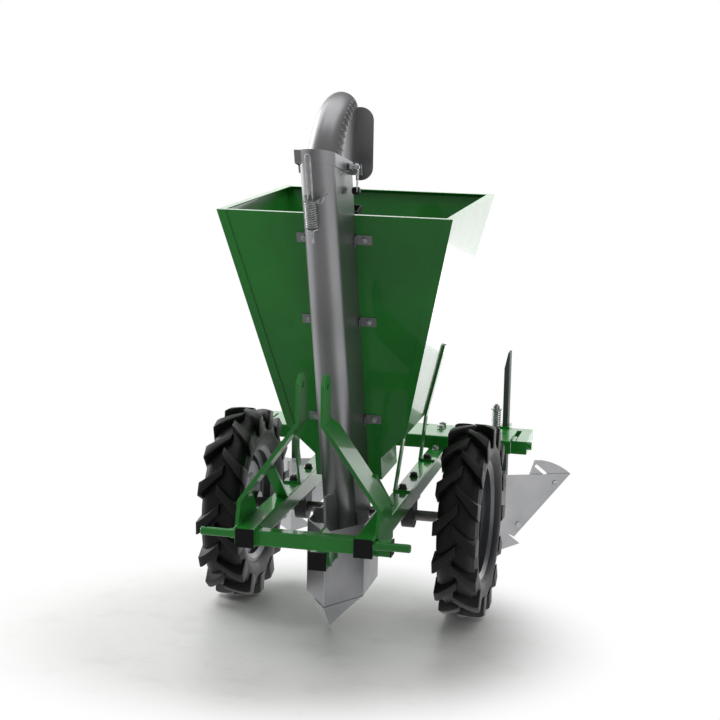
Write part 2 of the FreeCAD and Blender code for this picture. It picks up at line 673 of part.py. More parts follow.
tabs = [duct_tab(z) for z in TAB_LEVELS]
nodes["duct_brackets"] = Part.makeCompound(tabs + [mirrored(s) for s in tabs])


# spring latch on the left of the duct's front
LATCH_X = -9.0
LATCH_STANDOFF = 17.5
LATCH_ROD = 4.5
LATCH_GAP = 11.5
LATCH_TOP = 224.0
LATCH_BRACKET = 106.0
LATCH_SPRING_LENGTH = 72.0
LATCH_COIL = 14.0
LATCH_END = -8.0
latch_surface = -DUCT_DEPTH - math.sqrt(DUCT_RADIUS ** 2 - LATCH_X ** 2)
latch_y = latch_surface - LATCH_STANDOFF


def latch_hook():
    gap = LATCH_GAP
    sides = (LATCH_X - gap / 2, LATCH_X + gap / 2)
    legs = [rod((x, latch_y, LATCH_BRACKET - 20), (x, latch_y, LATCH_TOP), LATCH_ROD) for x in sides]
    loop = Part.makeTorus(gap / 2, LATCH_ROD / 2, V(LATCH_X, latch_y, LATCH_TOP), V(0, 1, 0))
    shaft = rod((LATCH_X, latch_y, LATCH_END), (LATCH_X, latch_y, LATCH_BRACKET - 16), LATCH_ROD + 1)
    yoke = box(LATCH_X - gap / 2 - 2, LATCH_X + gap / 2 + 2, latch_y - 2, latch_y + 2, LATCH_BRACKET - 22,
               LATCH_BRACKET - 16)
    washer = rod((LATCH_X, latch_y, LATCH_BRACKET - LATCH_SPRING_LENGTH - 3),
                 (LATCH_X, latch_y, LATCH_BRACKET - LATCH_SPRING_LENGTH), 32)
    nut = rod((LATCH_X, latch_y, LATCH_BRACKET - LATCH_SPRING_LENGTH - 9),
              (LATCH_X, latch_y, LATCH_BRACKET - LATCH_SPRING_LENGTH - 3), 13)
    return elevator(fuse(legs + [loop, shaft, yoke, washer, nut]))


def latch_bracket():
    reach = latch_y - 12
    gap = LATCH_GAP / 2 + LATCH_ROD / 2 + 0.5
    outline = [(-24, latch_surface + 14), (24, latch_surface + 6), (14, reach), (-14, reach)]
    plate = polygon([(LATCH_X + x, y, LATCH_BRACKET) for x, y in outline])
    plate = plate.extrude(V(0, 0, 4))
    plate = plate.cut(box(LATCH_X - gap, LATCH_X + gap, latch_y - LATCH_ROD / 2 - 0.5,
                          latch_y + LATCH_ROD / 2 + 0.5, LATCH_BRACKET - 1, LATCH_BRACKET + 5))
    return elevator(plate.cut(duct_column(0.1, 0, 200)))


def coil(radius, wire, length, turns):
    """A compression spring about Z, from its foot up."""
    pitch = (length - wire) / turns
    helix = Part.makeHelix(pitch, length - wire, radius)
    helix.translate(V(0, 0, wire / 2))
    start = V(radius, 0, wire / 2)
    section = Part.Wire(Part.makeCircle(wire / 2, start, V(0, 1, 0)))
    spring = Part.Wire(helix).makePipeShell([section], True, True)
    return spring


def latch_spring():
    spring = coil(LATCH_COIL, 3.5, LATCH_SPRING_LENGTH, 11)
    spring.translate(V(LATCH_X, latch_y, LATCH_BRACKET - LATCH_SPRING_LENGTH))
    return elevator(spring)


nodes["latch_hook"] = Part.makeCompound([latch_hook(), latch_bracket()])
nodes["latch_spring"] = latch_spring()


def chain_loop(radius):
    """Closed loop round the sprocket and the roller."""
    low = -(RIM_HEIGHT - AXLE_Z) * math.cos(lean) - (AXLE_Y - RIM_FRONT) * math.sin(lean)
    top = CHAIN_TOP
    y = CHAIN_OFFSET
    edges = [Part.Arc(V(0, y - radius, top), V(0, y, top + radius), V(0, y + radius, top)).toShape(),
             Part.makeLine(V(0, y + radius, top), V(0, y + radius, low)),
             Part.Arc(V(0, y + radius, low), V(0, y, low - radius), V(0, y - radius, low)).toShape(),
             Part.makeLine(V(0, y - radius, low), V(0, y - radius, top))]
    return Part.Face(Part.Wire(edges)), low, top


def cup(y, z, direction):
    """A shallow seed cup that stands off the chain, open upward on the way up."""
    reach = direction * CUP_LENGTH
    y0, y1 = sorted((y, y + reach))
    bowl = box(-CUP_HALF_WIDTH, CUP_HALF_WIDTH, y0, y1, z, z + CUP_HEIGHT)
    hollow_z = z + 3 if direction > 0 else z - 1
    hollow = box(-CUP_HALF_WIDTH + 3, CUP_HALF_WIDTH - 3, y0 + 3, y1 - 3, hollow_z, hollow_z + CUP_HEIGHT - 2)
    return bowl.cut(hollow)


def cup_chain():
    outer, low, top = chain_loop(CHAIN_RADIUS + CHAIN_THICKNESS / 2)
    inner = chain_loop(CHAIN_RADIUS - CHAIN_THICKNESS / 2)[0]
    band = outer.cut(inner).extrude(V(CHAIN_WIDTH, 0, 0))
    band.translate(V(-CHAIN_WIDTH / 2, 0, 0))
    cups = []
    count = int((top - low - CUP_HEIGHT) / CUP_PITCH) + 1
    for index in range(count):
        z = low + index * CUP_PITCH
        cups.append(cup(CHAIN_OFFSET + CHAIN_RADIUS + CHAIN_THICKNESS / 2 - 0.5, z, 1))
        cups.append(cup(CHAIN_OFFSET - CHAIN_RADIUS - CHAIN_THICKNESS / 2 + 0.5, z, -1))
    return elevator(fuse([band] + cups))


nodes["cup_chain"] = cup_chain()


def elevator_roller():
    centre = (CHAIN_OFFSET, CHAIN_TOP)
    rim = CHAIN_RADIUS - CHAIN_THICKNESS / 2 - ROLLER_CLEARANCE
    hub = SPINDLE_DIAMETER / 2
    profile = [(-16, hub), (-16, 20), (-4, 20), (-4, rim - 6), (-16, rim - 6), (-16, rim),
               (16, rim), (16, rim - 6), (4, rim - 6), (4, 20), (16, 20), (16, hub)]
    drum = revolved(profile, centre)
    spindle = rod((-DUCT_RADIUS - 8, *centre), (DUCT_RADIUS + 8, *centre), SPINDLE_DIAMETER)
    return elevator(fuse([drum, spindle]))


nodes["elevator_roller"] = elevator_roller()


# ---- opener --------------------------------------------------------------------------------

def furrow_opener():
    w = OPENER_HALF_WIDTH
    t = OPENER_SHEET

    def plan(half, nose, shoulder, z0, z1):
        points = [(0, nose), (half, shoulder), (half, OPENER_REAR), (-half, OPENER_REAR), (-half, shoulder)]
        return polygon([(x, y, z0) for x, y in points]).extrude(V(0, 0, z1 - z0))
    outer = plan(w, NOSE_FRONT, NOSE_FRONT + WING_DEPTH, OPENER_BOTTOM, OPENER_TOP)
    inner = plan(w - t, NOSE_FRONT + t * 1.9, NOSE_FRONT + WING_DEPTH + t * 0.55, OPENER_BOTTOM - 1,
                 OPENER_TOP + 1)
    inner = inner.fuse(box(-w + t, w - t, OPENER_REAR - 40, OPENER_REAR + 1, OPENER_BOTTOM - 1, OPENER_TOP + 1))
    boot = outer.cut(inner)
    # the top edge falls to the rear
    trim_top = plate_yz([(NOSE_FRONT - 20, OPENER_TOP), (OPENER_REAR + 20, OPENER_REAR_TOP),
                         (OPENER_REAR + 20, 50), (NOSE_FRONT - 20, 50)], -w - 1, w + 1)
    boot = boot.cut(trim_top)
    # upright plate from the nose to the duct, and a web across the boot that holds the duct's end
    duct = elevator(duct_column(0.3, DUCT_BOTTOM - 60, DUCT_BOTTOM + 400))
    drop = (FIN_REAR_TOP - FIN_FRONT_TOP) / 120
    front = wing_y(FIN_PLATE / 2) + 0.5
    fin = plate_yz([(front, FIN_BOTTOM), (front, OPENER_TOP), (NOSE_FRONT - 8, FIN_FRONT_TOP),
                    (NOSE_FRONT + 160, FIN_FRONT_TOP + drop * 160), (NOSE_FRONT + 160, FIN_BOTTOM)],
                   -FIN_PLATE / 2, FIN_PLATE / 2)
    web = box(-w + 1, w - 1, -DUCT_DEPTH - 4, -DUCT_DEPTH, DUCT_BOTTOM + 10, DUCT_BOTTOM + 60)
    return boot.fuse([fin.cut(duct), elevator(web).cut(duct)]).removeSplitter()


def share_side(reach, corner):
    """One side of the share: along the wing's lower edge, down to its corner and on to the tip."""
    tip = (0.0, NOSE_FRONT + TIP_SETBACK, OPENER_BOTTOM - TIP_DEPTH)
    nose = (0.0, NOSE_FRONT, OPENER_BOTTOM)
    along = V(reach, wing_y(reach), OPENER_BOTTOM)
    flat = (V(*tip) - V(*nose)).cross(along - V(*nose)).normalize()
    low = V(corner, wing_y(corner) + TIP_SETBACK * SHARE_DROP / TIP_DEPTH, OPENER_BOTTOM - SHARE_DROP)
    low = low - flat * flat.dot(low - V(*nose))
    return sheet([nose, tuple(along), tuple(low), tip], SHARE_PLATE, (0, OPENER_REAR, OPENER_BOTTOM))


def opener_share():
    right = share_side(OPENER_HALF_WIDTH - 1, SHARE_LEFT)
    left = mirrored(share_side(SHARE_LEFT, SHARE_LEFT - 4))
    share = right.fuse(left).removeSplitter()
    return share.cut(box(-100, 100, NOSE_FRONT - 50, OPENER_REAR, OPENER_BOTTOM, OPENER_BOTTOM + 50))


nodes["furrow_opener"] = furrow_opener()
nodes["opener_share"] = opener_share()


# ---- axle, sprocket and wheels -------------------------------------------------------------

axle_centre = (AXLE_Y, AXLE_Z)
wheel_x = TRACK / 2


def bearing():
    """A flanged bearing block bolted under a side tube."""
    x0, x1 = half_spacing - BEARING_WIDTH / 2, half_spacing + BEARING_WIDTH / 2
    base = box(x0, x1, AXLE_Y - BEARING_BASE / 2, AXLE_Y + BEARING_BASE / 2, -TUBE - 14, -TUBE)
    body = rod((x0, *axle_centre), (x1, *axle_centre), 72)
    shoulder = box(x0, x1, AXLE_Y - 36, AXLE_Y + 36, AXLE_Z, -TUBE)
    bore = rod((x0 - 1, *axle_centre), (x1 + 1, *axle_centre), AXLE_DIAMETER + 2 * RUNNING_CLEARANCE)
    return fuse([base, body, shoulder]).cut(bore)


nodes["axle_bearings"] = Part.makeCompound([bearing(), mirrored(bearing())])

axle_end = wheel_x + HUB_OUTER + 4
nodes["drive_axle"] = rod((-axle_end, *axle_centre), (axle_end, *axle_centre), AXLE_DIAMETER)


def drive_sprocket():
    rim = CHAIN_RADIUS - CHAIN_THICKNESS / 2 - SPROCKET_CLEARANCE
    bore = AXLE_DIAMETER / 2
    profile = [(-20, bore), (-20, 28), (-5, 28), (-5, rim), (5, rim), (5, 28), (20, 28), (20, bore)]
    return revolved(profile, axle_centre)


nodes["drive_sprocket"] = drive_sprocket()


def wheel_rim():
    """Pressed rim with a stepped disc and a hub, its open side towards +X."""
    half = RIM_WIDTH / 2
    t = RIM_SHEET
    well = RIM_SEAT - 16
    toe = half - RIM_TAPER
    inside = [(half, RIM_FLANGE), (half, RIM_FLANGE - 12), (toe, RIM_SEAT), (toe - 16, RIM_SEAT),
              (toe - 22, well)]
    outside = [(half - t, RIM_FLANGE), (half - t, RIM_FLANGE - 10), (toe - t + 1, RIM_SEAT + t),
               (toe - 16, RIM_SEAT + t), (toe - 23, well + t)]
    rim = inside + [(-x, r) for x, r in inside[::-1]]
    rim = rim + [(-x, r) for x, r in outside] + outside[::-1]
    disc = [(6, well + 1), (0, well + 1), (-14, 118), (-14, 84), (-2, 70), (-2, 30),
            (4, 30), (4, 73), (-8, 87), (-8, 115)]
    hub = [(-HUB_INNER, AXLE_DIAMETER / 2), (-HUB_INNER, HUB_DIAMETER / 2),
           (HUB_OUTER, HUB_DIAMETER / 2), (HUB_OUTER, AXLE_DIAMETER / 2)]
    wheel = fuse([revolved(rim, axle_centre), revolved(disc, axle_centre), revolved(hub, axle_centre)])
    wheel.translate(V(wheel_x, 0, 0))
    return wheel


def tyre():
    half = TYRE_WIDTH / 2
    flange = RIM_WIDTH / 2 - RIM_SHEET
    toe = RIM_WIDTH / 2 - RIM_TAPER - RIM_SHEET + 1
    seat = RIM_SEAT + RIM_SHEET
    R = WHEEL_RADIUS
    w = TYRE_WALL
    right = [(toe, seat), (flange, RIM_FLANGE - 10), (flange, RIM_FLANGE), (half - 2, 205), (half, 232),
             (half - 6, R - 14), (half - 18, R)]
    inside = [(half - 30, R - 22), (half - w - 7, R - 30), (half - w, 230), (half - w - 1, 208),
              (flange - w, RIM_FLANGE), (flange - w, seat)]
    outer = [(-x, r) for x, r in right] + right[::-1]
    profile = outer + [(x, r) for x, r in inside[::-1]] + [(-x, r) for x, r in inside]
    ring = revolved(profile, axle_centre)
    ring.translate(V(wheel_x, 0, 0))
    return ring


nodes["right_wheel_rim"] = wheel_rim()
nodes["left_wheel_rim"] = mirrored(wheel_rim())
nodes["right_tyre"] = tyre()
nodes["left_tyre"] = mirrored(tyre())


# ---- ridgers -------------------------------------------------------------------------------

ridger_x = RIDGER_SPACING / 2
ear_x = toolbar_end + ARM_GAP + EAR_PLATE
arm_x = ear_x + EAR_GAP / 2
cross_y = toolbar_rear + ARM_GAP
rod_x = ridger_x - ROD_OFFSET
rod_y = cross_y + ARM_TUBE / 2
arm_low = PIVOT_Z - ARM_TUBE / 2
arm_high = PIVOT_Z + ARM_TUBE / 2


def ridger_bracket():
    """Two ears on the end of the toolbar, the pivot pin and the spring rod with its lug."""
    y0, y1 = PIVOT_Y - 26, PIVOT_Y + 26
    inner_ear = box(toolbar_end, ear_x, y0, y1, 0, TOOLBAR_HEIGHT)
    outer_x = ear_x + EAR_GAP
    outer_ear = box(outer_x, outer_x + EAR_PLATE, y0, y1, 0, TOOLBAR_HEIGHT)
    back = box(toolbar_end, outer_x + EAR_PLATE, y0 - EAR_PLATE, y0, 0, TOOLBAR_HEIGHT)
    pin = rod((ear_x - 4, PIVOT_Y, PIVOT_Z), (outer_x + EAR_PLATE + 8, PIVOT_Y, PIVOT_Z), PIVOT_DIAMETER)
    head = rod((outer_x + EAR_PLATE, PIVOT_Y, PIVOT_Z), (outer_x + EAR_PLATE + 12, PIVOT_Y, PIVOT_Z), 24)
    return fuse([inner_ear, outer_ear, back, pin, head])


def spring_rod():
    """Rod that stands on a lug behind the toolbar; the lug is also the stop of the arm."""
    x0, x1 = rod_x - 18, rod_x + 12
    lug = box(x0, x1, toolbar_rear, cross_y + ARM_TUBE, arm_low - 8, arm_low - 0.5)
    bar = rod((rod_x, rod_y, arm_low - 16), (rod_x, rod_y, arm_high + SPRING_LENGTH + 18), ROD_DIAMETER)
    washer_z = arm_high + SPRING_LENGTH
    washer = rod((rod_x, rod_y, washer_z), (rod_x, rod_y, washer_z + 3), 34)
    nut = rod((rod_x, rod_y, washer_z + 3), (rod_x, rod_y, washer_z + 13), 20)
    low_nut = rod((rod_x, rod_y, arm_low - 18), (rod_x, rod_y, arm_low - 8), 20)
    web = box(x0, x1, toolbar_rear, toolbar_rear + ARM_GAP - 1, arm_low - 8, TOOLBAR_HEIGHT - 10)
    return fuse([lug, bar, washer, nut, low_nut, web])


def ridger_arm():
    """Square bar from the pivot past the toolbar's end, and a cross bar that holds the shank."""
    bar = box(arm_x - ARM_TUBE / 2, arm_x + ARM_TUBE / 2, PIVOT_Y - 15, cross_y + ARM_TUBE, arm_low, arm_high)
    cross = box(rod_x - 16, arm_x + ARM_TUBE / 2, cross_y, cross_y + ARM_TUBE, arm_low, arm_high)
    bore = rod((ear_x, PIVOT_Y, PIVOT_Z), (ear_x + EAR_GAP, PIVOT_Y, PIVOT_Z),
               PIVOT_DIAMETER + 2 * PIVOT_CLEARANCE)
    slot = box(rod_x - ROD_DIAMETER / 2 - 1.5, rod_x + ROD_DIAMETER / 2 + 1.5, rod_y - ROD_DIAMETER / 2 - 5,
               rod_y + ROD_DIAMETER / 2 + 5, arm_low - 1, arm_high + 1)
    holder = box(ridger_x - SHANK_PLATE / 2 - 7, ridger_x + SHANK_PLATE / 2 + 7, cross_y,
                 shank_y + SHANK_WIDTH / 2 + 8, arm_low - 6, arm_high + 10)
    shank_slot = box(ridger_x - SHANK_PLATE / 2, ridger_x + SHANK_PLATE / 2, shank_y - SHANK_WIDTH / 2,
                     shank_y + SHANK_WIDTH / 2, arm_low - 10, arm_high + 20)
    return fuse([bar, cross, holder]).cut(bore).cut(slot).cut(shank_slot)


shank_y = cross_y + 26.0


def ridger_shank():
    top = SHANK_TOP
    low = RIDGER_TOP - 90
    half = SHANK_PLATE / 2
    f, r = shank_y - SHANK_WIDTH / 2, shank_y + SHANK_WIDTH / 2
    bar = box(ridger_x - half, ridger_x + half, f, r, low, top)
    # the top is ground to a blunt edge
    narrow = [(-half - 1, top - 55), (half - 5, top + 1), (-half - 1, top + 1)]
    return bar.cut(plate_xz([(ridger_x + x, z) for x, z in narrow], f - 1, r + 1))


def ridger_body():
    """V shaped ridging body: share at the front, a wing to each side, adjustable end plates."""
    nose_y = shank_y - SHANK_WIDTH / 2 - NOSE_REACH
    back = V(-RIDGER_SWEEP, 1, 0).normalize()

    def place(point, behind=0.0):
        u, z = point
        return V(u, nose_y + RIDGER_SWEEP * u, z) + back * behind

    def plate(outline, behind):
        return polygon([tuple(place(p, behind)) for p in outline]).extrude(back * RIDGER_SHEET)

    def hole(point, diameter):
        return rod(tuple(place(point, -20)), tuple(place(point, 30)), diameter)
    wing = plate(WING_OUTLINE, 0)
    end_plate = plate(END_OUTLINE, RIDGER_SHEET)
    along = (place(SLOT_END) - place(SLOT_START)).normalize()
    across = along.cross(back) * (SLOT_WIDTH / 2)
    corners = [place(SLOT_START, -5) + across, place(SLOT_END, -5) + across,
               place(SLOT_END, -5) - across, place(SLOT_START, -5) - across]
    slot = polygon([tuple(c) for c in corners]).extrude(back * 30)
    end_plate = end_plate.cut([slot, hole(SLOT_START, SLOT_WIDTH), hole(SLOT_END, SLOT_WIDTH)])
    half = wing.fuse(end_plate).cut([hole(p, WING_HOLE) for p in WING_BOLTS])
    share = sheet([(0, nose_y + 3, RIDGER_BOTTOM + 74), (59, nose_y + 39, RIDGER_BOTTOM + 16),
                   (0, nose_y - 2, RIDGER_BOTTOM)], RIDGER_SHEET + 3, (0, nose_y + 300, RIDGER_TOP))
    half = half.fuse(share)
    stem = box(-SHANK_PLATE / 2 - 6, SHANK_PLATE / 2 + 6, nose_y + 2, shank_y - SHANK_WIDTH / 2,
               RIDGER_TOP - 130, RIDGER_TOP - 10)
    body = fuse([half, mirrored(half), stem])
    body.translate(V(ridger_x, 0, 0))
    return body.cut(ridger_shank())


def ridger_spring():
    spring = coil(SPRING_RADIUS, SPRING_WIRE, SPRING_LENGTH, SPRING_TURNS)
    spring.translate(V(rod_x, rod_y, arm_high))
    return spring


nodes["spring_rods"] = Part.makeCompound([spring_rod(), mirrored(spring_rod())])
for side, place in (("right", lambda s: s), ("left", mirrored)):
    nodes[side + "_ridger_bracket"] = place(ridger_bracket())
    nodes[side + "_ridger_spring"] = place(ridger_spring())
    nodes[side + "_ridger_arm"] = place(ridger_arm())
    nodes[side + "_ridger_shank"] = place(ridger_shank())
    nodes[side + "_ridger_body"] = place(ridger_body())


# ---- parked on its wheels and the opener's tip ---------------------------------------------

tip_y = NOSE_FRONT + TIP_SETBACK
tip_z = OPENER_BOTTOM - TIP_DEPTH
reach = math.hypot(AXLE_Y - tip_y, AXLE_Z - tip_z)
pitch = math.atan2(AXLE_Y - tip_y, AXLE_Z - tip_z) - math.acos(WHEEL_RADIUS / reach)


def turned(point):
    x, y, z = point
    return V(x, y * math.cos(pitch) - z * math.sin(pitch), y * math.sin(pitch) + z * math.cos(pitch))


for shape in nodes.values():
    shape.rotate(V(0, 0, 0), V(1, 0, 0), math.degrees(pitch))

whole = Part.makeCompound(list(nodes.values())).optimalBoundingBox(False)
origin = V((whole.XMin + whole.XMax) / 2, (whole.YMin + whole.YMax) / 2,
           turned((0, AXLE_Y, AXLE_Z)).z - WHEEL_RADIUS)
for name, shape in nodes.items():
    shape.translate(origin.negative())
    shape.exportStep("parts/" + name + ".step")


def say(label, point):
    p = (turned(point) - origin) / 1000
    print("%s %.5f %.5f %.5f" % (label, p.x, p.y, p.z))


print("pitch_deg %.4f" % math.degrees(pitch))
print("size %.1f %.1f %.1f" % (whole.XLength, whole.YLength, whole.ZMax - origin.z))
say("axle", (0, AXLE_Y, AXLE_Z))
say("right_pivot", (arm_x, PIVOT_Y, PIVOT_Z))
say("left_pivot", (-arm_x, PIVOT_Y, PIVOT_Z))
pin_middle = foot_outer + (PIN_COLLAR_LENGTH + PIN_LENGTH - 2.0) / 2
say("right_pin", (pin_middle, PIN_SETBACK, -PIN_DROP))
say("left_pin", (-pin_middle, PIN_SETBACK, -PIN_DROP))
say("spring_top", (rod_x, rod_y, arm_high + SPRING_LENGTH))
say("clevis", (0, clevis_y, CLEVIS_BORE_HEIGHT))
say("stub_end", (stub_end + CAP_FACE, CROSS_SETBACK + CROSS / 2, -TUBE + CROSS / 2))
for name, shape in nodes.items():
    print("%-24s solids %d volume %.0f valid %s" % (name, len(shape.Solids), shape.Volume, shape.isValid()))
print("nodes", len(nodes))
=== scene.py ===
import json
import math

import bpy
from mathutils import Matrix, Vector


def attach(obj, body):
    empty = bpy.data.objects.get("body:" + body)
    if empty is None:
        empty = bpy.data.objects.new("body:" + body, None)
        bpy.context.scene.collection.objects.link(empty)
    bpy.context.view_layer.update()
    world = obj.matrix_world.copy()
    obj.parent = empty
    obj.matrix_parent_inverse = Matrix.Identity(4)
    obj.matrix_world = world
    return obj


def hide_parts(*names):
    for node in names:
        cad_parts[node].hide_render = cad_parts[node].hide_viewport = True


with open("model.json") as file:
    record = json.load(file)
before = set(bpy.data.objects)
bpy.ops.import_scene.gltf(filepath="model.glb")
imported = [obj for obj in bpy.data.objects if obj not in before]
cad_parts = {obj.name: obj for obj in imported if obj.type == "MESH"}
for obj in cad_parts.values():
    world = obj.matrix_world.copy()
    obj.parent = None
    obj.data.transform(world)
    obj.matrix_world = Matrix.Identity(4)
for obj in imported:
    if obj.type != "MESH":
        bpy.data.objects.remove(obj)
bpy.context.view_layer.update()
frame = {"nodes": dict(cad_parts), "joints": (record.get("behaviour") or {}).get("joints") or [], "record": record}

print("planter: frame loaded")

# The machine is drawn level, X across, Y rearward from the tube ends, Z up from the tube tops,
# in millimetres. seat() sets a piece down on the ground with the rest of the planter.
level = {"axleBack": 577.0, "axleDown": 98.0, "liftBack": 433.0, "liftUp": 118.0}
hinges = {joint["name"]: Vector(joint["pos_m"]) for joint in frame["joints"]}
axle = hinges["axle_spin"]
lift = hinges["right_ridger_lift"]
noseUp = math.atan2(lift.z - axle.z, lift.y - axle.y) - math.atan2(level["liftUp"], level["liftBack"])
toGround = (Matrix.Translation(axle) @ Matrix.Rotation(noseUp, 4, "X")
            @ Matrix.Translation((0, -level["axleBack"] / 1000, level["axleDown"] / 1000)))


def mm(x, y, z):
    return Vector((x, y, z)) / 1000


# working on a mesh

def clearHands():
    if bpy.context.object and bpy.context.object.mode != "OBJECT":
        bpy.ops.object.mode_set(mode="OBJECT")
    bpy.ops.object.select_all(action="DESELECT")


def takeUp(piece):
    clearHands()
    piece.select_set(True)
    bpy.context.view_layer.objects.active = piece


def settle(piece):
    takeUp(piece)
    bpy.ops.object.transform_apply(location=True, rotation=True, scale=True)
    return piece


def newPiece(name):
    piece = bpy.context.object
    piece.name = name
    return settle(piece)


def block(name, low, high):
    clearHands()
    low, high = mm(*low), mm(*high)
    bpy.ops.mesh.primitive_cube_add(size=1, location=(low + high) / 2, scale=high - low)
    return newPiece(name)


def drum(name, centre, radius, height, sides=32, along=(0, 0, 1)):
    clearHands()
    turn = Vector(along).to_track_quat("Z", "Y").to_euler()
    bpy.ops.mesh.primitive_cylinder_add(vertices=sides, radius=radius / 1000, depth=height / 1000,
                                        location=mm(*centre), rotation=turn)
    return newPiece(name)


def pick(piece, wanted, faces=False):
    # edit mode with only these points or faces picked
    takeUp(piece)
    mesh = piece.data
    if faces:
        chosen = {f.index for f in mesh.polygons if wanted(f.center, f.normal)}
        points = {v for f in chosen for v in mesh.polygons[f].vertices}
    else:
        points = {v.index for v in mesh.vertices if wanted(v.co)}
        chosen = {f.index for f in mesh.polygons if all(v in points for v in f.vertices)}
    mesh.vertices.foreach_set("select", [v.index in points for v in mesh.vertices])
    if faces:
        edges = {key for f in chosen for key in mesh.polygons[f].edge_keys}
        mesh.edges.foreach_set("select", [tuple(sorted(e.vertices)) in edges for e in mesh.edges])
    else:
        mesh.edges.foreach_set("select", [all(v in points for v in e.vertices) for e in mesh.edges])
    mesh.polygons.foreach_set("select", [f.index in chosen for f in mesh.polygons])
    bpy.context.tool_settings.mesh_select_mode = (not faces, False, faces)
    bpy.ops.object.mode_set(mode="EDIT")
    return len(points)


def shift(piece, wanted, by):
    pick(piece, wanted)
    bpy.ops.transform.translate(value=Vector(by) / 1000)
    bpy.ops.object.mode_set(mode="OBJECT")


def squeeze(piece, wanted, factors, about):
    pick(piece, wanted)
    bpy.ops.transform.resize(value=factors, center_override=about)
    bpy.ops.object.mode_set(mode="OBJECT")


def swing(piece, wanted, degrees, about, axis="X"):
    pick(piece, wanted)
    bpy.ops.transform.rotate(value=-math.radians(degrees), orient_axis=axis, center_override=about)
    bpy.ops.object.mode_set(mode="OBJECT")


def growOut(piece, wanted, by):
    pick(piece, wanted, faces=True)
    bpy.ops.mesh.extrude_region_move(TRANSFORM_OT_translate={"value": Vector(by) / 1000})
    bpy.ops.object.mode_set(mode="OBJECT")


def roundEdges(piece, width, segments=2, angle=35):
    takeUp(piece)
    bevel = piece.modifiers.new("roundEdges", "BEVEL")
    bevel.width = width / 1000
    bevel.segments = segments
    bevel.limit_method = "ANGLE"
    bevel.angle_limit = math.radians(angle)
    bpy.ops.object.modifier_apply(modifier=bevel.name)


def smooth(piece, angle=40):
    takeUp(piece)
    bpy.ops.object.shade_smooth_by_angle(angle=math.radians(angle))


def tidyShell(piece):
    pick(piece, lambda p: True)
    bpy.ops.mesh.remove_doubles(threshold=0.00002)
    bpy.ops.mesh.normals_make_consistent(inside=False)
    bpy.ops.object.mode_set(mode="OBJECT")


def copied(piece, matrix, name="copy"):
    twin = piece.copy()
    twin.data = piece.data.copy()
    twin.name = name
    bpy.context.scene.collection.objects.link(twin)
    twin.matrix_world = matrix @ piece.matrix_world
    return settle(twin)


def joined(pieces, name):
    clearHands()
    for piece in pieces:
        piece.select_set(True)
    bpy.context.view_layer.objects.active = pieces[0]
    bpy.ops.object.join()
    return newPiece(name)


def discard(*pieces):
    for piece in pieces:
        bpy.data.objects.remove(piece)


def mirrorCopy(piece, name):
    twin = copied(piece, Matrix.Scale(-1, 4, (1, 0, 0)), name)
    tidyShell(twin)
    return twin


def seat(piece, body, material, onGround=False):
    if not onGround:
        piece.matrix_world = toGround @ piece.matrix_world
        settle(piece)
    piece.data.materials.clear()
    piece.data.materials.append(material)
    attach(piece, body)
    return piece


# finishes

def colour(red, green, blue):
    def linear(v):
        v = v / 255
        return v / 12.92 if v <= 0.04045 else ((v + 0.055) / 1.055) ** 2.4
    return (linear(red), linear(green), linear(blue), 1.0)


class Wire:
    # one output of a node, that can be used in sums
    def __init__(self, graph, socket):
        self.graph = graph
        self.socket = socket

    def sum(self, operation, first, second):
        return self.graph.node("ShaderNodeMath", {"operation": operation}, {0: first, 1: second})

    def __add__(self, other):
        return self.sum("ADD", self, other)

    def __radd__(self, other):
        return self.sum("ADD", other, self)

    def __sub__(self, other):
        return self.sum("SUBTRACT", self, other)

    def __rsub__(self, other):
        return self.sum("SUBTRACT", other, self)

    def __mul__(self, other):
        return self.sum("MULTIPLY", self, other)

    def __rmul__(self, other):
        return self.sum("MULTIPLY", other, self)


class Graph:
    def __init__(self, tree):
        self.tree = tree

    def node(self, kind, settings=None, values=None, out=0):
        made = self.tree.nodes.new(kind)
        for key, value in (settings or {}).items():
            if key == "stops":
                for stop, (at, shade) in zip(made.color_ramp.elements, value):
                    stop.position = at
                    stop.color = (shade, shade, shade, 1)
            else:
                setattr(made, key, value)
        for key, value in (values or {}).items():
            self.feed(made.inputs[key], value)
        return None if out is None else Wire(self, made.outputs[out])

    def feed(self, socket, value):
        if isinstance(value, Wire):
            self.tree.links.new(value.socket, socket)
        else:
            socket.default_value = value

    def band(self, value, low, high):
        # 0 below low, 1 above high
        return self.node("ShaderNodeMapRange", {"interpolation_type": "SMOOTHSTEP"},
                         {"Value": value, "From Min": low, "From Max": high})


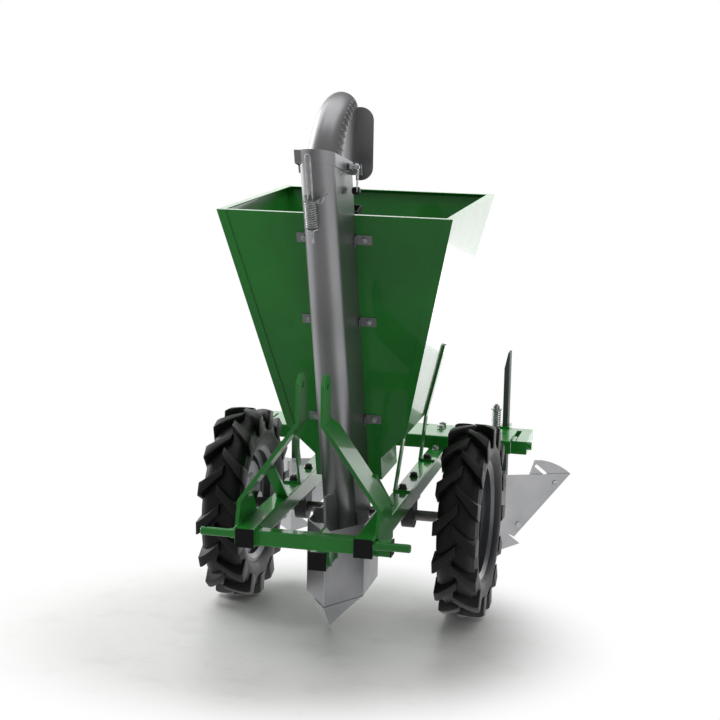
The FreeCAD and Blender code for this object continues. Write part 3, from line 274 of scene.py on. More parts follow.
class Finish(Graph):
    def __init__(self, name, **constants):
        self.material = bpy.data.materials.new(name)
        self.material.use_nodes = True
        super().__init__(self.material.node_tree)
        self.shader = self.tree.nodes["Principled BSDF"]
        for socket, value in constants.items():
            self.shader.inputs[socket.replace("_", " ")].default_value = value
        self.place = self.node("ShaderNodeTexCoord", out="Object")

    def grain(self, scale, detail=3.0, rough=0.5, place=None):
        return self.node("ShaderNodeTexNoise", {}, {"Vector": place or self.place, "Scale": scale,
                                                     "Detail": detail, "Roughness": rough})

    def stretched(self, x, y, z):
        return self.node("ShaderNodeMapping", {}, {"Vector": self.place, "Scale": (x, y, z)}, "Vector")

    def edges(self, radius, low, high):
        eased = self.node("ShaderNodeBevel", {"samples": 4}, {"Radius": radius / 1000})
        plain = self.node("ShaderNodeNewGeometry", out="Normal")
        same = self.node("ShaderNodeVectorMath", {"operation": "DOT_PRODUCT"}, {0: eased, 1: plain}, "Value")
        return self.band(1 - same, low, high)

    def blend(self, share, first, second):
        return self.node("ShaderNodeMix", {"data_type": "RGBA"}, {"Factor": share, 6: first, 7: second}, 2)

    def height(self, low, high):
        split = self.node("ShaderNodeSeparateXYZ", {}, {"Vector": self.place}, "Z")
        return self.band(split, low, high)

    def set(self, socket, value):
        self.feed(self.shader.inputs[socket], value)

    def bumps(self, height, depth, strength=1.0):
        made = self.node("ShaderNodeBump", {}, {"Height": height, "Distance": depth / 1000,
                                                 "Strength": strength}, "Normal")
        self.set("Normal", made)


def greenPaint():
    coat = {"leaf": (33, 138, 45), "deep": (24, 116, 37), "edge": (92, 168, 92), "primer": (112, 118, 108),
            "dust": (116, 130, 100)}
    f = Finish("greenPaint", Coat_Roughness=0.06, Coat_IOR=1.5, Specular_IOR_Level=0.3)
    patches = f.band(f.grain(3.2, 4.0), 0.35, 0.68)
    paint = f.blend(patches, colour(*coat["leaf"]), colour(*coat["deep"]))
    # painted highlight: the edges are mixed towards a lighter green
    highlightMask = f.edges(1.6, 0.02, 0.25)
    paint = f.blend(highlightMask * 0.5, paint, colour(*coat["edge"]))
    chips = f.band(f.grain(160, 3.0, 0.6), 0.66, 0.7) * f.edges(3.0, 0.05, 0.3)
    paint = f.blend(chips, paint, colour(*coat["primer"]))
    dust = (1 - f.height(0.02, 0.3)) * f.band(f.grain(9, 5.0), 0.42, 0.72) * 0.16
    paint = f.blend(dust, paint, colour(*coat["dust"]))
    f.set("Base Color", paint)
    f.set("Roughness", 0.28 + 0.08 * f.grain(24) + chips * 0.3)
    f.set("Coat Weight", 0.5 - 0.4 * dust - 0.5 * chips)
    f.bumps(f.grain(420, 2.0) * 0.6 + f.grain(70, 2.0) * 0.4, 0.1, 0.3)
    return f.material


def silverPaint():
    coat = {"grey": (150, 150, 152), "dark": (139, 139, 141), "edge": (206, 206, 208), "grime": (92, 90, 88)}
    f = Finish("silverPaint", Coat_Roughness=0.2)
    paint = f.blend(f.band(f.grain(5.0, 3.0), 0.35, 0.7), colour(*coat["grey"]), colour(*coat["dark"]))
    # painted highlight: lighter grey along the edges
    paint = f.blend(f.edges(1.5, 0.02, 0.3) * 0.6, paint, colour(*coat["edge"]))
    speck = f.band(f.grain(300, 2.0, 0.7), 0.72, 0.78) * 0.3
    paint = f.blend(speck, paint, colour(*coat["grime"]))
    f.set("Base Color", paint)
    f.set("Metallic", 0.88 - 0.3 * speck)
    f.set("Roughness", 0.34 + 0.06 * f.grain(14, 4.0))
    f.bumps(f.grain(520, 2.0), 0.08, 0.35)
    return f.material


def rimPaint():
    coat = {"grey": (104, 106, 109), "dark": (84, 86, 90), "edge": (200, 202, 205), "dust": (100, 96, 88)}
    f = Finish("rimPaint", Coat_Roughness=0.12)
    paint = f.blend(f.band(f.grain(6, 4.0), 0.3, 0.7), colour(*coat["grey"]), colour(*coat["dark"]))
    # painted highlight: near-white along the edges
    paint = f.blend(f.edges(1.8, 0.02, 0.3) * 0.7, paint, colour(*coat["edge"]))
    dust = f.band(f.grain(30, 5.0), 0.6, 0.85) * 0.2
    paint = f.blend(dust, paint, colour(*coat["dust"]))
    f.set("Base Color", paint)
    f.set("Metallic", 0.75 - 0.5 * dust)
    f.set("Roughness", 0.28 + 0.12 * f.grain(22))
    f.bumps(f.grain(300, 2.0), 0.08, 0.3)
    return f.material


def workedPaint(name, grey, dark):
    # paint on steel that works in the soil
    coat = {"grey": grey, "dark": dark, "bare": (212, 213, 215), "soil": (92, 80, 62)}
    f = Finish(name, Coat_Roughness=0.3)
    paint = f.blend(f.band(f.grain(6, 4.0), 0.35, 0.7), colour(*coat["grey"]), colour(*coat["dark"]))
    scratches = f.band(f.grain(30, 3.0, 0.7, f.stretched(1, 1, 14)), 0.68, 0.73)
    rubbed = f.edges(2.5, 0.02, 0.25)
    paint = f.blend(rubbed * 0.7 + scratches * 0.12, paint, colour(*coat["bare"]))
    soil = (1 - f.height(0.01, 0.06)) * f.band(f.grain(20, 5.0), 0.5, 0.75) * 0.2
    paint = f.blend(soil, paint, colour(*coat["soil"]))
    f.set("Base Color", paint)
    f.set("Metallic", 0.8 - 0.5 * soil)
    f.set("Roughness", 0.36 + 0.08 * f.grain(18, 4.0) - 0.06 * rubbed)
    f.bumps(f.grain(420, 3.0) + scratches * 0.3, 0.08, 0.35)
    return f.material


def shankPaint():
    coat = {"grey": (94, 102, 99), "dark": (76, 84, 80), "edge": (160, 168, 163), "mark": (66, 70, 64)}
    f = Finish("shankPaint", Specular_IOR_Level=0.12)
    paint = f.blend(f.band(f.grain(9, 5.0), 0.3, 0.7), colour(*coat["grey"]), colour(*coat["dark"]))
    # painted highlight: lighter grey-green along the edges
    paint = f.blend(f.edges(1.6, 0.02, 0.3) * 0.6, paint, colour(*coat["edge"]))
    mark = f.band(f.grain(50, 4.0, 0.6, f.stretched(3, 3, 0.5)), 0.62, 0.72) * 0.4
    f.set("Base Color", f.blend(mark, paint, colour(*coat["mark"])))
    f.set("Metallic", 0.1 - 0.1 * mark)
    f.set("Roughness", 0.5 + 0.15 * f.grain(30))
    f.bumps(f.grain(300, 3.0), 0.1, 0.4)
    return f.material


def bareSteel():
    coat = {"steel": (124, 122, 118), "dark": (84, 82, 80), "rust": (104, 72, 48)}
    f = Finish("bareSteel")
    steel = f.blend(f.grain(18, 5.0), colour(*coat["steel"]), colour(*coat["dark"]))
    rust = f.band(f.grain(46, 6.0, 0.65), 0.6, 0.74) * 0.5
    f.set("Base Color", f.blend(rust, steel, colour(*coat["rust"])))
    f.set("Metallic", 0.9 - 0.8 * rust)
    f.set("Roughness", 0.34 + 0.2 * f.grain(30) + 0.3 * rust)
    f.bumps(f.grain(220, 3.0), 0.12, 0.4)
    return f.material


def zincSteel():
    coat = {"zinc": (196, 196, 192), "cool": (160, 164, 170), "dull": (136, 132, 124)}
    f = Finish("zincSteel")
    plate = f.blend(f.band(f.grain(60, 4.0), 0.35, 0.65), colour(*coat["zinc"]), colour(*coat["cool"]))
    worn = f.edges(0.8, 0.03, 0.3) * 0.5
    f.set("Base Color", f.blend(worn, plate, colour(*coat["dull"])))
    f.set("Metallic", 0.95 - 0.2 * worn)
    f.set("Roughness", 0.26 + 0.16 * f.grain(90))
    f.bumps(f.grain(500, 2.0), 0.05, 0.3)
    return f.material


def bearingIron():
    coat = {"iron": (70, 73, 72), "dark": (44, 46, 46), "edge": (124, 124, 120)}
    f = Finish("bearingIron")
    iron = f.blend(f.grain(26, 5.0), colour(*coat["iron"]), colour(*coat["dark"]))
    # painted highlight: the edges are lighter and more metallic
    highlightMask = f.edges(1.6, 0.03, 0.3)
    f.set("Base Color", f.blend(highlightMask * 0.6, iron, colour(*coat["edge"])))
    f.set("Metallic", 0.3 + 0.4 * highlightMask)
    f.set("Roughness", 0.5 + 0.15 * f.grain(40))
    f.bumps(f.grain(180, 5.0, 0.65), 0.35, 0.6)
    return f.material


def tyreRubber():
    look = {"black": (9, 9, 10), "bloom": (24, 24, 25), "dust": (84, 80, 74), "ribEvery": 7.0}
    f = Finish("tyreRubber", Specular_IOR_Level=0.35)
    bloom = f.band(f.grain(14, 5.0), 0.4, 0.75) * 0.5
    rubber = f.blend(bloom, colour(*look["black"]), colour(*look["bloom"]))
    scuffed = f.edges(2.2, 0.02, 0.3) * f.band(f.grain(55, 4.0), 0.35, 0.65)
    rubber = f.blend(scuffed * 0.3, rubber, colour(*look["dust"]))
    middle = f.node("ShaderNodeVectorMath", {"operation": "SUBTRACT"}, {0: f.place, 1: (0, axle.y, axle.z)})
    flat = f.node("ShaderNodeVectorMath", {"operation": "MULTIPLY"}, {0: middle, 1: (0, 1, 1)})
    radius = f.node("ShaderNodeVectorMath", {"operation": "LENGTH"}, {0: flat}, "Value")
    rings = f.node("ShaderNodeMath", {"operation": "SINE"}, {0: radius * (2000 * math.pi / look["ribEvery"])})
    wall = (1 - f.band(radius, 0.226, 0.232)) * f.band(radius, 0.176, 0.182)
    # dust in noise patches, plus a painted sheen: a lighter band over the lug tops
    dust = f.band(f.grain(7, 6.0, 0.65), 0.5, 0.85) * 0.08 + f.band(radius, 0.262, 0.271) * 0.05
    rubber = f.blend(dust, rubber, colour(*look["dust"]))
    f.set("Base Color", rubber)
    f.set("Roughness", 0.42 + 0.18 * f.grain(40, 4.0) + 0.3 * dust)
    f.bumps(rings * wall * 0.35 + f.grain(320, 3.0) * 0.3, 0.6, 0.5)
    return f.material


def blackPlastic():
    f = Finish("blackPlastic", Specular_IOR_Level=0.25)
    plastic = f.blend(f.grain(30, 4.0), colour(12, 11, 13), colour(22, 20, 23))
    # painted highlight: light grey along the edges
    f.set("Base Color", f.blend(f.edges(1.2, 0.03, 0.3) * 0.4, plastic, colour(86, 84, 86)))
    f.set("Roughness", 0.3 + 0.14 * f.grain(60))
    f.bumps(f.grain(640, 3.0), 0.12, 0.5)
    return f.material


def beltRubber():
    f = Finish("beltRubber")
    belt = f.blend(f.grain(24, 5.0), colour(38, 37, 36), colour(60, 57, 54))
    f.set("Base Color", f.blend(f.band(f.grain(60, 5.0), 0.6, 0.8) * 0.35, belt, colour(112, 100, 82)))
    f.set("Roughness", 0.62 + 0.15 * f.grain(50))
    f.bumps(f.grain(260, 4.0), 0.25, 0.5)
    return f.material


paintShop = {"green_paint": greenPaint(), "silver_paint": silverPaint(), "rim_paint": rimPaint(),
             "opener_paint": workedPaint("openerPaint", (158, 158, 160), (140, 141, 143)),
             "wing_paint": workedPaint("wingPaint", (190, 190, 192), (172, 173, 175)),
             "bare_steel": bareSteel(), "zinc_steel": zincSteel(),
             "bearing_iron": bearingIron(), "tyre_rubber": tyreRubber(), "black_plastic": blackPlastic(),
             "belt_rubber": beltRubber(), "shank_paint": shankPaint()}
for part in frame["record"]["subparts"]:
    node = frame["nodes"][part["node"]]
    node.data.materials.clear()
    node.data.materials.append(paintShop[part["material_slot"]])
print("planter: finishes mixed")


# tyres

def lug():
    # one tread bar, from the middle of the tread out over the shoulder; shapes are in the wheel's
    # own frame, with the axle at the origin and the bar at the top
    bar = {"stations": (-6, 10, 26, 40, 52, 60.5), "tops": (272.5, 272.5, 272.5, 271.5, 270, 266),
           "roots": (247, 247, 244, 236, 224, 212), "across": (34, 36, 40, 45, 48, 48),
           "swept": (0.0, 3.4, 6.8, 9.8, 12.0, 13.0), "draft": 0.78}
    xs, tops, roots = bar["stations"], bar["tops"], bar["roots"]
    piece = block("lug", (xs[0], -10, 246), (xs[1], 10, 272.5))
    for near, far in zip(xs[1:], xs[2:]):
        growOut(piece, lambda c, n, near=near: abs(c.x * 1000 - near) < 0.5 and n.x > 0.5, (far - near, 0, 0))
    for x, top, root, across, swept in zip(xs, tops, roots, bar["across"], bar["swept"]):
        at = lambda p, x=x: abs(p.x * 1000 - x) < 0.5
        shift(piece, lambda p: at(p) and p.z > 0.26, (0, 0, top - 272.5))
        shift(piece, lambda p: at(p) and p.z < 0.25, (0, 0, root - 246))
        squeeze(piece, lambda p: at(p) and p.z > 0.25, (1, across * bar["draft"] / 20, 1), mm(x, 0, top))
        squeeze(piece, lambda p: at(p) and p.z < 0.25, (1, across / 20, 1), mm(x, 0, root))
        swing(piece, at, swept, (0, 0, 0))
    roundEdges(piece, 1.8, 2, 30)
    return piece


def tyre(name, side):
    size = {"middle": 206.0, "half": 48.0, "width": 58.0, "beadWidth": 43.0, "lugs": 15,
            "firstLug": 60.7, "wheelOut": 334.5}
    clearHands()
    bpy.ops.mesh.primitive_circle_add(vertices=36, radius=size["width"] / 1000,
                                      location=mm(0, 0, size["middle"]), rotation=(math.pi / 2, 0, 0))
    casing = newPiece(name)
    squeeze(casing, lambda p: True, (1, 1, size["half"] / size["width"]), mm(0, 0, size["middle"]))
    squeeze(casing, lambda p: p.z < 0.181, (size["beadWidth"] / size["width"] * 1.35, 1, 1), (0, 0, 0))
    for above, wider in ((0.225, 1.06), (0.236, 1.12), (0.245, 1.22)):
        squeeze(casing, lambda p, above=above: p.z > above, (wider, 1, 1), (0, 0, 0))
    pick(casing, lambda p: True)
    bpy.ops.mesh.spin(steps=120, angle=2 * math.pi, center=(0, 0, 0), axis=(1, 0, 0))
    bpy.ops.object.mode_set(mode="OBJECT")
    tidyShell(casing)
    smooth(casing, 60)
    outerLug = lug()
    innerLug = mirrorCopy(outerLug, "innerLug")
    smooth(outerLug, 30)
    smooth(innerLug, 30)
    step = 360 / size["lugs"]
    parts = [casing]
    for index in range(size["lugs"]):
        for pattern, offset in ((outerLug, 0.0), (innerLug, step / 2)):
            turn = Matrix.Rotation(math.radians(size["firstLug"] + offset + index * step), 4, "X")
            parts.append(copied(pattern, turn))
    discard(outerLug, innerLug)
    whole = joined(parts, name)
    if side < 0:
        whole = mirrorWheel(whole, name)
    whole.matrix_world = Matrix.Translation(axle + mm(side * size["wheelOut"], 0, 0)) @ whole.matrix_world
    settle(whole)
    return seat(whole, "axle", paintShop["tyre_rubber"], onGround=True)


def mirrorWheel(piece, name):
    twin = mirrorCopy(piece, name + "Left")
    discard(piece)
    twin.name = name
    return twin


rightTyre = tyre("rightTyre", 1)
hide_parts("right_tyre")
leftTyre = tyre("leftTyre", -1)
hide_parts("left_tyre")
print("planter: tyres fitted")


# bolts

def hexBolt(across, headHeight, washer, thick):
    # head up, washer's underside at the origin
    head = drum("boltHead", (0, 0, thick + headHeight / 2), across / math.sqrt(3), headHeight, 6)
    top = lambda c, n: n.z > 0.9
    pick(head, top, faces=True)
    bpy.ops.mesh.inset(thickness=across / 9000)
    bpy.ops.transform.translate(value=(0, 0, headHeight / 9000))
    bpy.ops.object.mode_set(mode="OBJECT")
    ring = drum("washer", (0, 0, thick / 2), washer / 2, thick, 24)
    roundEdges(ring, thick / 4, 1)
    shank = drum("thread", (0, 0, thick + headHeight * 0.65), across * 0.27, headHeight * 1.3, 16)
    roundEdges(shank, 0.8, 1)
    bolt = joined([head, ring, shank], "hexBolt")
    smooth(bolt, 30)
    return bolt


def setOut(pattern, places, name):
    # a copy of the bolt at each place, looking along its direction
    parts = []
    for index, (at, along) in enumerate(places):
        turn = Vector(along).to_track_quat("Z", "Y").to_matrix().to_4x4()
        spun = Matrix.Rotation(math.radians(index * 37), 4, "Z")
        parts.append(copied(pattern, Matrix.Translation(mm(*at)) @ turn @ spun))
    discard(pattern)
    return joined(parts, name)


lean = math.radians(16.57)       # forward lean of the duct


def onDuct(x, out, up):
    # a place in the leaning frame of the duct: out from the hopper's panel, up along the duct
    c, s = math.cos(lean), math.sin(lean)
    return (x, 260 + out * c - up * s, 792 + out * s + up * c)


ductFront = (0, -math.cos(lean), -math.sin(lean))


def bracketBolts():
    row = {"levels": (726, 497, 210), "x": 82.0, "under": -2.5}
    places = [(onDuct(side * row["x"], row["under"], (z - 792) / math.cos(lean)), ductFront)
              for z in row["levels"] for side in (-1, 1)]
    return setOut(hexBolt(13, 5.5, 17, 1.6), places, "bracketBolts")


def footBolts():
    rows = {"legs": (475, 827), "legX": 158, "bearings": (522, 632), "bearingX": 157}
    places = []
    for side in (-1, 1):
        places += [((side * rows["legX"], y, 6), (0, 0, 1)) for y in rows["legs"]]
        places += [((side * rows["bearingX"], rows["bearings"][1], 0), (0, 0, 1))]
        places += [((side * rows["bearingX"], y, -64), (0, 0, -1)) for y in rows["bearings"]]
    return setOut(hexBolt(19, 9, 26, 2.4), places, "footBolts")


def barBolts():
    rows = {"holes": (1068.7, 1106.2), "barX": 150, "front": 962}
    places = []
    for side in (-1, 1):
        places += [((side * rows["barX"], y, 40), (0, 0, 1)) for y in rows["holes"]]
        places += [((side * 157, rows["front"], 0), (0, 0, 1))]
    return setOut(hexBolt(19, 8, 25, 2.4), places, "barBolts")


for bolts, slot in ((bracketBolts(), "zinc_steel"), (footBolts(), "bearing_iron"),
                    (barBolts(), "zinc_steel")):
    seat(bolts, "frame", paintShop[slot])


def wheelBolts():
    ring = {"radius": 100.0, "count": 5, "face": 326.5, "turned": 18}
    places = []
    for side in (-1, 1):
        for index in range(ring["count"]):
            a = math.radians(ring["turned"] + index * 360 / ring["count"])
            y, z = ring["radius"] * math.cos(a), ring["radius"] * math.sin(a)
            places.append(((side * ring["face"], y, z), (side, 0, 0)))
    bolts = setOut(hexBolt(17, 8, 22, 2), places, "wheelBolts")
    bolts.matrix_world = Matrix.Translation(axle)
    settle(bolts)
    return seat(bolts, "axle", paintShop["zinc_steel"], onGround=True)


wheelBolts()
print("planter: bolts in")


# fittings at the top of the duct

def hexNut(across, height, bore):
    nut = drum("nut", (0, 0, height / 2), across / math.sqrt(3), height, 6)
    pick(nut, lambda c, n: abs(n.z) > 0.9, faces=True)
    bpy.ops.mesh.inset(thickness=(across / 2 - bore / 2) / 1600)
    bpy.ops.object.mode_set(mode="OBJECT")
    roundEdges(nut, 0.5, 1)
    return nut


def hoodPleats():
    # short pressed folds over the right shoulder of the bent hood
    bend = {"back": 350.0, "up": 865.0, "radius": 195.0, "pipe": 45.6, "shoulder": 24.0, "from": 160.0,
            "to": 100.0, "count": 12, "long": 26.0, "wide": 8.0, "high": 3.6, "slant": 0.5}
    halfWide, halfLong = bend["wide"] / 2, bend["long"] / 2
    pleat = block("pleat", (-halfWide, -halfLong, -2), (halfWide, halfLong, 0.3))
    pick(pleat, lambda p: True)
    bpy.ops.mesh.subdivide(number_cuts=5)
    bpy.ops.object.mode_set(mode="OBJECT")
    shift(pleat, lambda p: p.z > 0 and abs(p.y) < 0.01 and abs(p.x) < 0.002, (0, 0, bend["high"] - 0.3))
    squeeze(pleat, lambda p: p.z > 0.001 and abs(p.y) > 0.006, (0.8, 1, 0.6), (0, 0, 0))
    squeeze(pleat, lambda p: abs(p.y) > 0.012, (0.3, 1, 1), (0, 0, 0))
    smooth(pleat, 80)
    low = math.radians(bend["shoulder"])
    reach = bend["radius"] + bend["pipe"] * math.sin(low)
    parts = []
    for index in range(bend["count"]):
        a = math.radians(bend["from"] + (bend["to"] - bend["from"]) * index / (bend["count"] - 1))
        outward = Vector((math.cos(low), math.sin(low) * math.cos(a), math.sin(low) * math.sin(a)))
        along = Vector((0, -math.sin(a), math.cos(a)))
        slanted = (outward.cross(along) + along * bend["slant"]).normalized()
        side = slanted.cross(outward).normalized()
        turn = Matrix((side, slanted, outward)).transposed().to_4x4()
        at = mm(bend["pipe"] * math.cos(low), bend["back"] + reach * math.cos(a),
                bend["up"] + reach * math.sin(a))
        parts.append(copied(pleat, Matrix.Translation(at) @ turn))
    discard(pleat)
    return seat(joined(parts, "hoodPleats"), "frame", paintShop["silver_paint"])


def collarPivot():
    # the bolt on the right that the hood swings on, with an eye under it
    pin = {"from": 58.0, "to": 86.0, "out": -30.0, "up": 146.0, "radius": 5.0}
    middle = onDuct((pin["from"] + pin["to"]) / 2, pin["out"], pin["up"])
    parts = [drum("pivotPin", middle, pin["radius"], pin["to"] - pin["from"], 20, (1, 0, 0))]
    roundEdges(parts[0], 1.0, 1)
    for x in (60, 74):
        nut = hexNut(17, 8, 10)
        parts.append(copied(nut, Matrix.Translation(mm(*onDuct(x, pin["out"], pin["up"])))
                            @ Vector((1, 0, 0)).to_track_quat("Z", "Y").to_matrix().to_4x4()))
        discard(nut)
    clearHands()
    bpy.ops.mesh.primitive_torus_add(major_radius=0.008, minor_radius=0.0025, major_segments=28,
                                     minor_segments=10, location=mm(*onDuct(79, pin["out"], 128)),
                                     rotation=(0, math.pi / 2, 0))
    eye = newPiece("eye")
    squeeze(eye, lambda p: True, (1, 1, 1.35), mm(*onDuct(79, pin["out"], 128)))
    strap = block("strap", (77, -6, -32), (80, 6, 10))
    roundEdges(strap, 1.0, 2)
    strap.matrix_world = Matrix.Translation(mm(*onDuct(0, pin["out"], 112))) @ strap.matrix_world
    return seat(joined(parts + [eye, settle(strap)], "collarPivot"), "frame",
                paintShop["zinc_steel"])


def knob():
    place = {"x": 74.0, "out": -32.0, "up": 82.0, "radius": 10.0, "tall": 17.0}
    centre = onDuct(place["x"], place["out"], place["up"])
    piece = drum("knob", centre, place["radius"], place["tall"], 28, (1, -0.15, 0.1))
    pick(piece, lambda c, n: abs(n.x) > 0.9, faces=True)
    bpy.ops.mesh.inset(thickness=0.003)
    bpy.ops.transform.resize(value=(1.15, 1, 1))
    bpy.ops.object.mode_set(mode="OBJECT")
    roundEdges(piece, 2.6, 3)
    smooth(piece, 50)
    return seat(piece, "frame", paintShop["black_plastic"])


def wireRun(points, radius, name):
    # a bent wire, from the places it passes through
    parts = []
    for start, end in zip(points, points[1:]):
        a, b = Vector(start), Vector(end)
        parts.append(drum(name, (a + b) / 2, radius, (b - a).length + radius, 12, b - a))
    for piece in parts:
        roundEdges(piece, radius * 0.45, 2)
    whole = joined(parts, name)
    smooth(whole, 50)
    return whole


def latchClip():
    # the spring clip that keeps the latch's loop on its bracket
    places = ((14, -176, 112), (10, -178, 104), (20, -173, 102), (26, -168, 118), (34, -160, 124))
    clip = wireRun([onDuct(*place) for place in places], 1.6, "latchClip")
    return seat(clip, "frame", paintShop["zinc_steel"])


def spindleNuts():
    spindle = {"aside": 46.4, "out": 50.0, "up": 108.0}
    places = [(onDuct(side * spindle["aside"], spindle["out"], spindle["up"]), (side, 0, 0))
              for side in (-1, 1)]
    return seat(setOut(hexNut(27, 8, 20), places, "spindleNuts"), "frame",
                paintShop["zinc_steel"])


hoodPleats()
collarPivot()
knob()
latchClip()
spindleNuts()
print("planter: duct fittings on")


# ridger bolts

def plainHead(radius, height):
    # round head with a square socket, its underside at the origin
    head = drum("head", (0, 0, height / 2), radius, height, 28)
    pick(head, lambda c, n: n.z > 0.9, faces=True)
    bpy.ops.mesh.inset(thickness=radius * 0.55 / 1000)
    bpy.ops.transform.translate(value=(0, 0, -height * 0.5 / 1000))
    bpy.ops.object.mode_set(mode="OBJECT")
    roundEdges(head, height * 0.25, 2)
    smooth(head, 40)
    return head


def wingBolts(side, name, body):
    # heads on the front of both wings, with nuts behind
    wing = {"middle": 342.0, "nose": 1108.5, "sweep": 0.626, "sheet": 8.0,
            "bolts": ((156, -144), (53, -270))}
    root = math.hypot(1, wing["sweep"])
    fronts, backs = [], []
    for half in (-1, 1):
        normal = Vector((half * wing["sweep"] / root, -1 / root, 0))
        for u, z in wing["bolts"]:
            at = Vector((side * wing["middle"] + half * u, wing["nose"] + wing["sweep"] * u, z))
            fronts.append((at + normal * 0.2, normal))
            backs.append((at - normal * (wing["sheet"] + 0.2), -normal))
    heads = setOut(plainHead(8.5, 3.0), fronts, name)
    nuts = setOut(hexNut(13, 6, 8), backs, name + "Nuts")
    return seat(joined([heads, nuts], name), body, paintShop["zinc_steel"])


def shankClamp(side, name, body):
    hold = {"x": 357.2, "back": 1160.0, "up": 20.0}
    places = [((side * hold["x"], hold["back"] + step, hold["up"]), (side, 0, 0)) for step in (-11, 11)]
    return seat(setOut(hexBolt(15, 7, 20, 1.8), places, name), body, paintShop["zinc_steel"])


for side, word in ((1, "right"), (-1, "left")):
    wingBolts(side, word + "WingBolts", word + "_ridger")
    shankClamp(side, word + "ShankClamp", word + "_ridger")
print("planter: ridgers bolted")


# weld beads

def weldBeads(runs, name, body="frame", slot="green_paint", every=3.4, size=3.4):
    # overlapping ripples along each run
    clearHands()
    bpy.ops.mesh.primitive_ico_sphere_add(subdivisions=2, radius=size / 1000, location=(0, 0, 0))
    ripple = newPiece("ripple")
    squeeze(ripple, lambda p: True, (1.1, 1.1, 0.75), (0, 0, 0))
    shift(ripple, lambda p: p.x > 0.0015, (0.8, 0, 0))
    parts = []
    for start, end in runs:
        a, b = Vector(start), Vector(end)
        count = max(2, round((b - a).length / every))
        turn = (b - a).to_track_quat("X", "Z").to_matrix().to_4x4()
        for index in range(count + 1):
            parts.append(copied(ripple, Matrix.Translation((a + (b - a) * index / count) / 1000) @ turn))
    discard(ripple)
    bead = joined(parts, name)
    smooth(bead, 80)
    return seat(bead, body, paintShop[slot])


def frameWelds():
    runs = []
    for s in (-1, 1):
        runs += [((s * 131, 27, -10), (s * 131, 63, -10)), ((s * 131, 25, -48), (s * 131, 25, -12)),
                 ((s * 132, 972, 1), (s * 182, 972, 1)), ((s * 25, 66, -20), (s * 25, 66, -48)),
                 ((s * 183, 1, 0), (s * 183, 45, 1)), ((s * 385, 986, 41), (s * 385, 1034, 41)),
                 ((s * 133, 322, 1), (s * 162, 322, 1)), ((s * 25, 262, -96), (s * 25, 262, -140))]
    return weldBeads(runs, "frameWelds")


def openerWelds():
    runs = [((0, 219, -272), (42, 284, -272)), ((0, 219, -272), (-42, 284, -272)),
            ((4, 236, 40), (4, 318, 24)), ((42, 284, -272), (79, 341, -272))]
    return weldBeads(runs, "openerWelds", "frame", "opener_paint", 3.0, 1.9)


frameWelds()
openerWelds()
print("planter: welds run")


# floor, light and camera

def studioFloor():
    reach = {"middle": (-0.1, -0.35, 0), "shade": 0.5, "white": 0.92, "dimFront": (-0.3, -1.6, 0),
             "dim": 0.35, "dimTo": 1.1, "brightFrom": 1.7}
    clearHands()
    bpy.ops.mesh.primitive_circle_add(vertices=96, radius=9, fill_type="NGON", location=(0, 0, -0.0005))
    floor = newPiece("studioFloor")
    f = Finish("floorPaper")
    scuffs = f.band(f.grain(7, 6.0, 0.62), 0.5, 0.68) * 0.3 + f.band(f.grain(38, 5.0), 0.58, 0.72) * 0.2
    f.set("Base Color", f.blend(scuffs, colour(228, 228, 226), colour(204, 203, 198)))
    f.set("Roughness", 0.45)
    flat = f.node("ShaderNodeVectorMath", {"operation": "SUBTRACT"}, {0: f.place, 1: reach["middle"]})
    far = f.node("ShaderNodeVectorMath", {"operation": "LENGTH"}, {0: flat}, "Value")
    path = f.node("ShaderNodeLightPath", out="Is Camera Ray")
    shiny = f.node("ShaderNodeLightPath", out="Is Glossy Ray")
    # painted shade in reflections: in glossy rays the floor is all emission, white but dimmed to the dim level
    # within dimTo of dimFront
    front = f.node("ShaderNodeVectorMath", {"operation": "SUBTRACT"}, {0: f.place, 1: reach["dimFront"]})
    away = f.node("ShaderNodeVectorMath", {"operation": "LENGTH"}, {0: front}, "Value")
    paintedShadeInFront = shiny * (1 - f.band(away, reach["dimTo"], reach["brightFrom"]))
    glow = f.blend(paintedShadeInFront, (1, 1, 1, 1), (reach["dim"], reach["dim"], reach["dim"], 1))
    seen = path * f.band(far, reach["shade"], reach["white"]) + shiny
    white = f.node("ShaderNodeEmission", {}, {"Color": glow, "Strength": 1.0})
    mixed = f.node("ShaderNodeMixShader", {}, {0: seen, 1: Wire(f, f.shader.outputs[0]), 2: white})
    out = f.tree.nodes["Material Output"]
    f.feed(out.inputs["Surface"], mixed)
    floor.data.materials.append(f.material)


def studioSky():
    # white behind the machine, dimmer in what shines back from it
    level = {"seen": 1.0, "shine": 0.34, "fill": 0.38}
    world = bpy.data.worlds.new("studioWhite")
    bpy.context.scene.world = world
    world.use_nodes = True
    world.node_tree.nodes.clear()
    g = Graph(world.node_tree)
    seen = g.node("ShaderNodeLightPath", out="Is Camera Ray")
    shine = g.node("ShaderNodeLightPath", out="Is Glossy Ray")
    strength = (level["fill"] + seen * (level["seen"] - level["fill"])
                + shine * (level["shine"] - level["fill"]))
    sky = g.node("ShaderNodeBackground", {}, {"Color": (1, 1, 1, 1), "Strength": strength})
    g.node("ShaderNodeOutputWorld", {}, {"Surface": sky}, None)


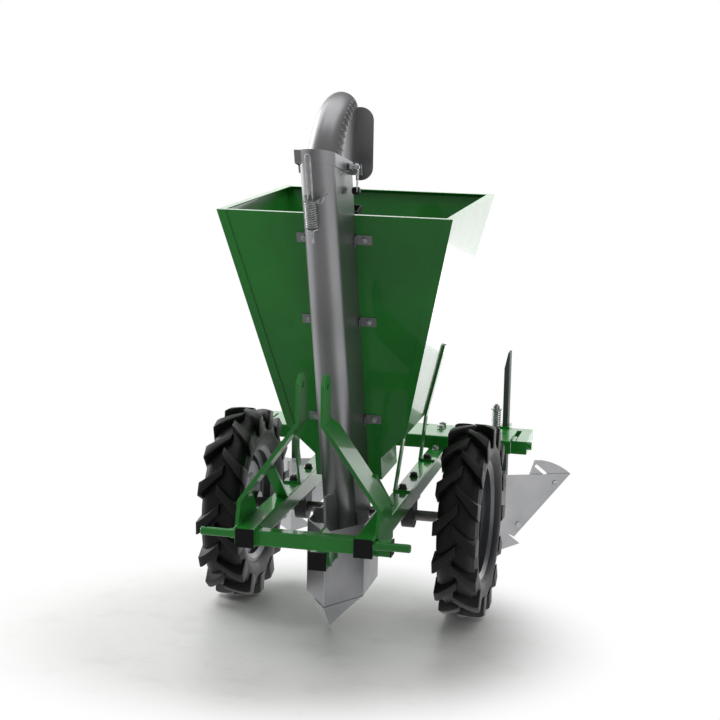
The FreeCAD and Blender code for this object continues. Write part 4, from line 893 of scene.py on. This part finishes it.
def lamps():
    # place, what it looks at, width, height and power of each soft lamp
    boxes = {"leftSoftbox": ((-2.9, 1.0, 1.7), (0, 0, 0.7), 2.0, 2.6, 60),
             "leftHigh": ((-2.3, 0.8, 3.1), (0, -0.3, 1.2), 2.4, 2.0, 34),
             "topSoftbox": ((0, 0.1, 3.6), (0, 0, 0.5), 2.6, 2.6, 32),
             "backWhite": ((0.3, 4.2, 1.3), (0.3, 0, 0.8), 8.0, 3.0, 106),
             "lowRight": ((0.5, 1.95, 0.3), (0.3, 0, 0.7), 1.2, 1.0, 2.6)}
    for name, (place, target, width, height, power) in boxes.items():
        light = bpy.data.lights.new(name, "AREA")
        light.shape = "RECTANGLE"
        light.size = width
        light.size_y = height
        light.energy = power
        lamp = bpy.data.objects.new(name, light)
        bpy.context.scene.collection.objects.link(lamp)
        lamp.visible_camera = False
        lamp.location = place
        lamp.rotation_euler = (Vector(target) - Vector(place)).to_track_quat("-Z", "Y").to_euler()


def standAtCamera():
    # where the camera stands in the level frame of the machine, and how it is turned
    view = {"place": (1107.3, -4098.7, 1316.5), "around": 13.27, "down": 11.45, "roll": 1.04, "lens": 86.57}
    a, e = math.radians(view["around"]), math.radians(view["down"])
    ahead = Vector((-math.sin(a) * math.cos(e), math.cos(a) * math.cos(e), -math.sin(e)))
    right = ahead.cross(Vector((0, 0, 1))).normalized()
    up = right.cross(ahead)
    r = math.radians(view["roll"])
    rolledRight = right * math.cos(r) + up * math.sin(r)
    rolledUp = up * math.cos(r) - right * math.sin(r)
    turn = Matrix((rolledRight, rolledUp, -ahead)).transposed().to_4x4()
    lens = bpy.data.cameras.new("cameraLens")
    lens.lens = view["lens"]
    lens.sensor_width = 36
    camera = bpy.data.objects.new("camera", lens)
    bpy.context.scene.collection.objects.link(camera)
    camera.matrix_world = toGround @ Matrix.Translation(mm(*view["place"])) @ turn
    bpy.context.scene.camera = camera


studioFloor()
studioSky()
lamps()
standAtCamera()
bpy.context.scene.view_settings.view_transform = "Standard"
print("planter: studio set")
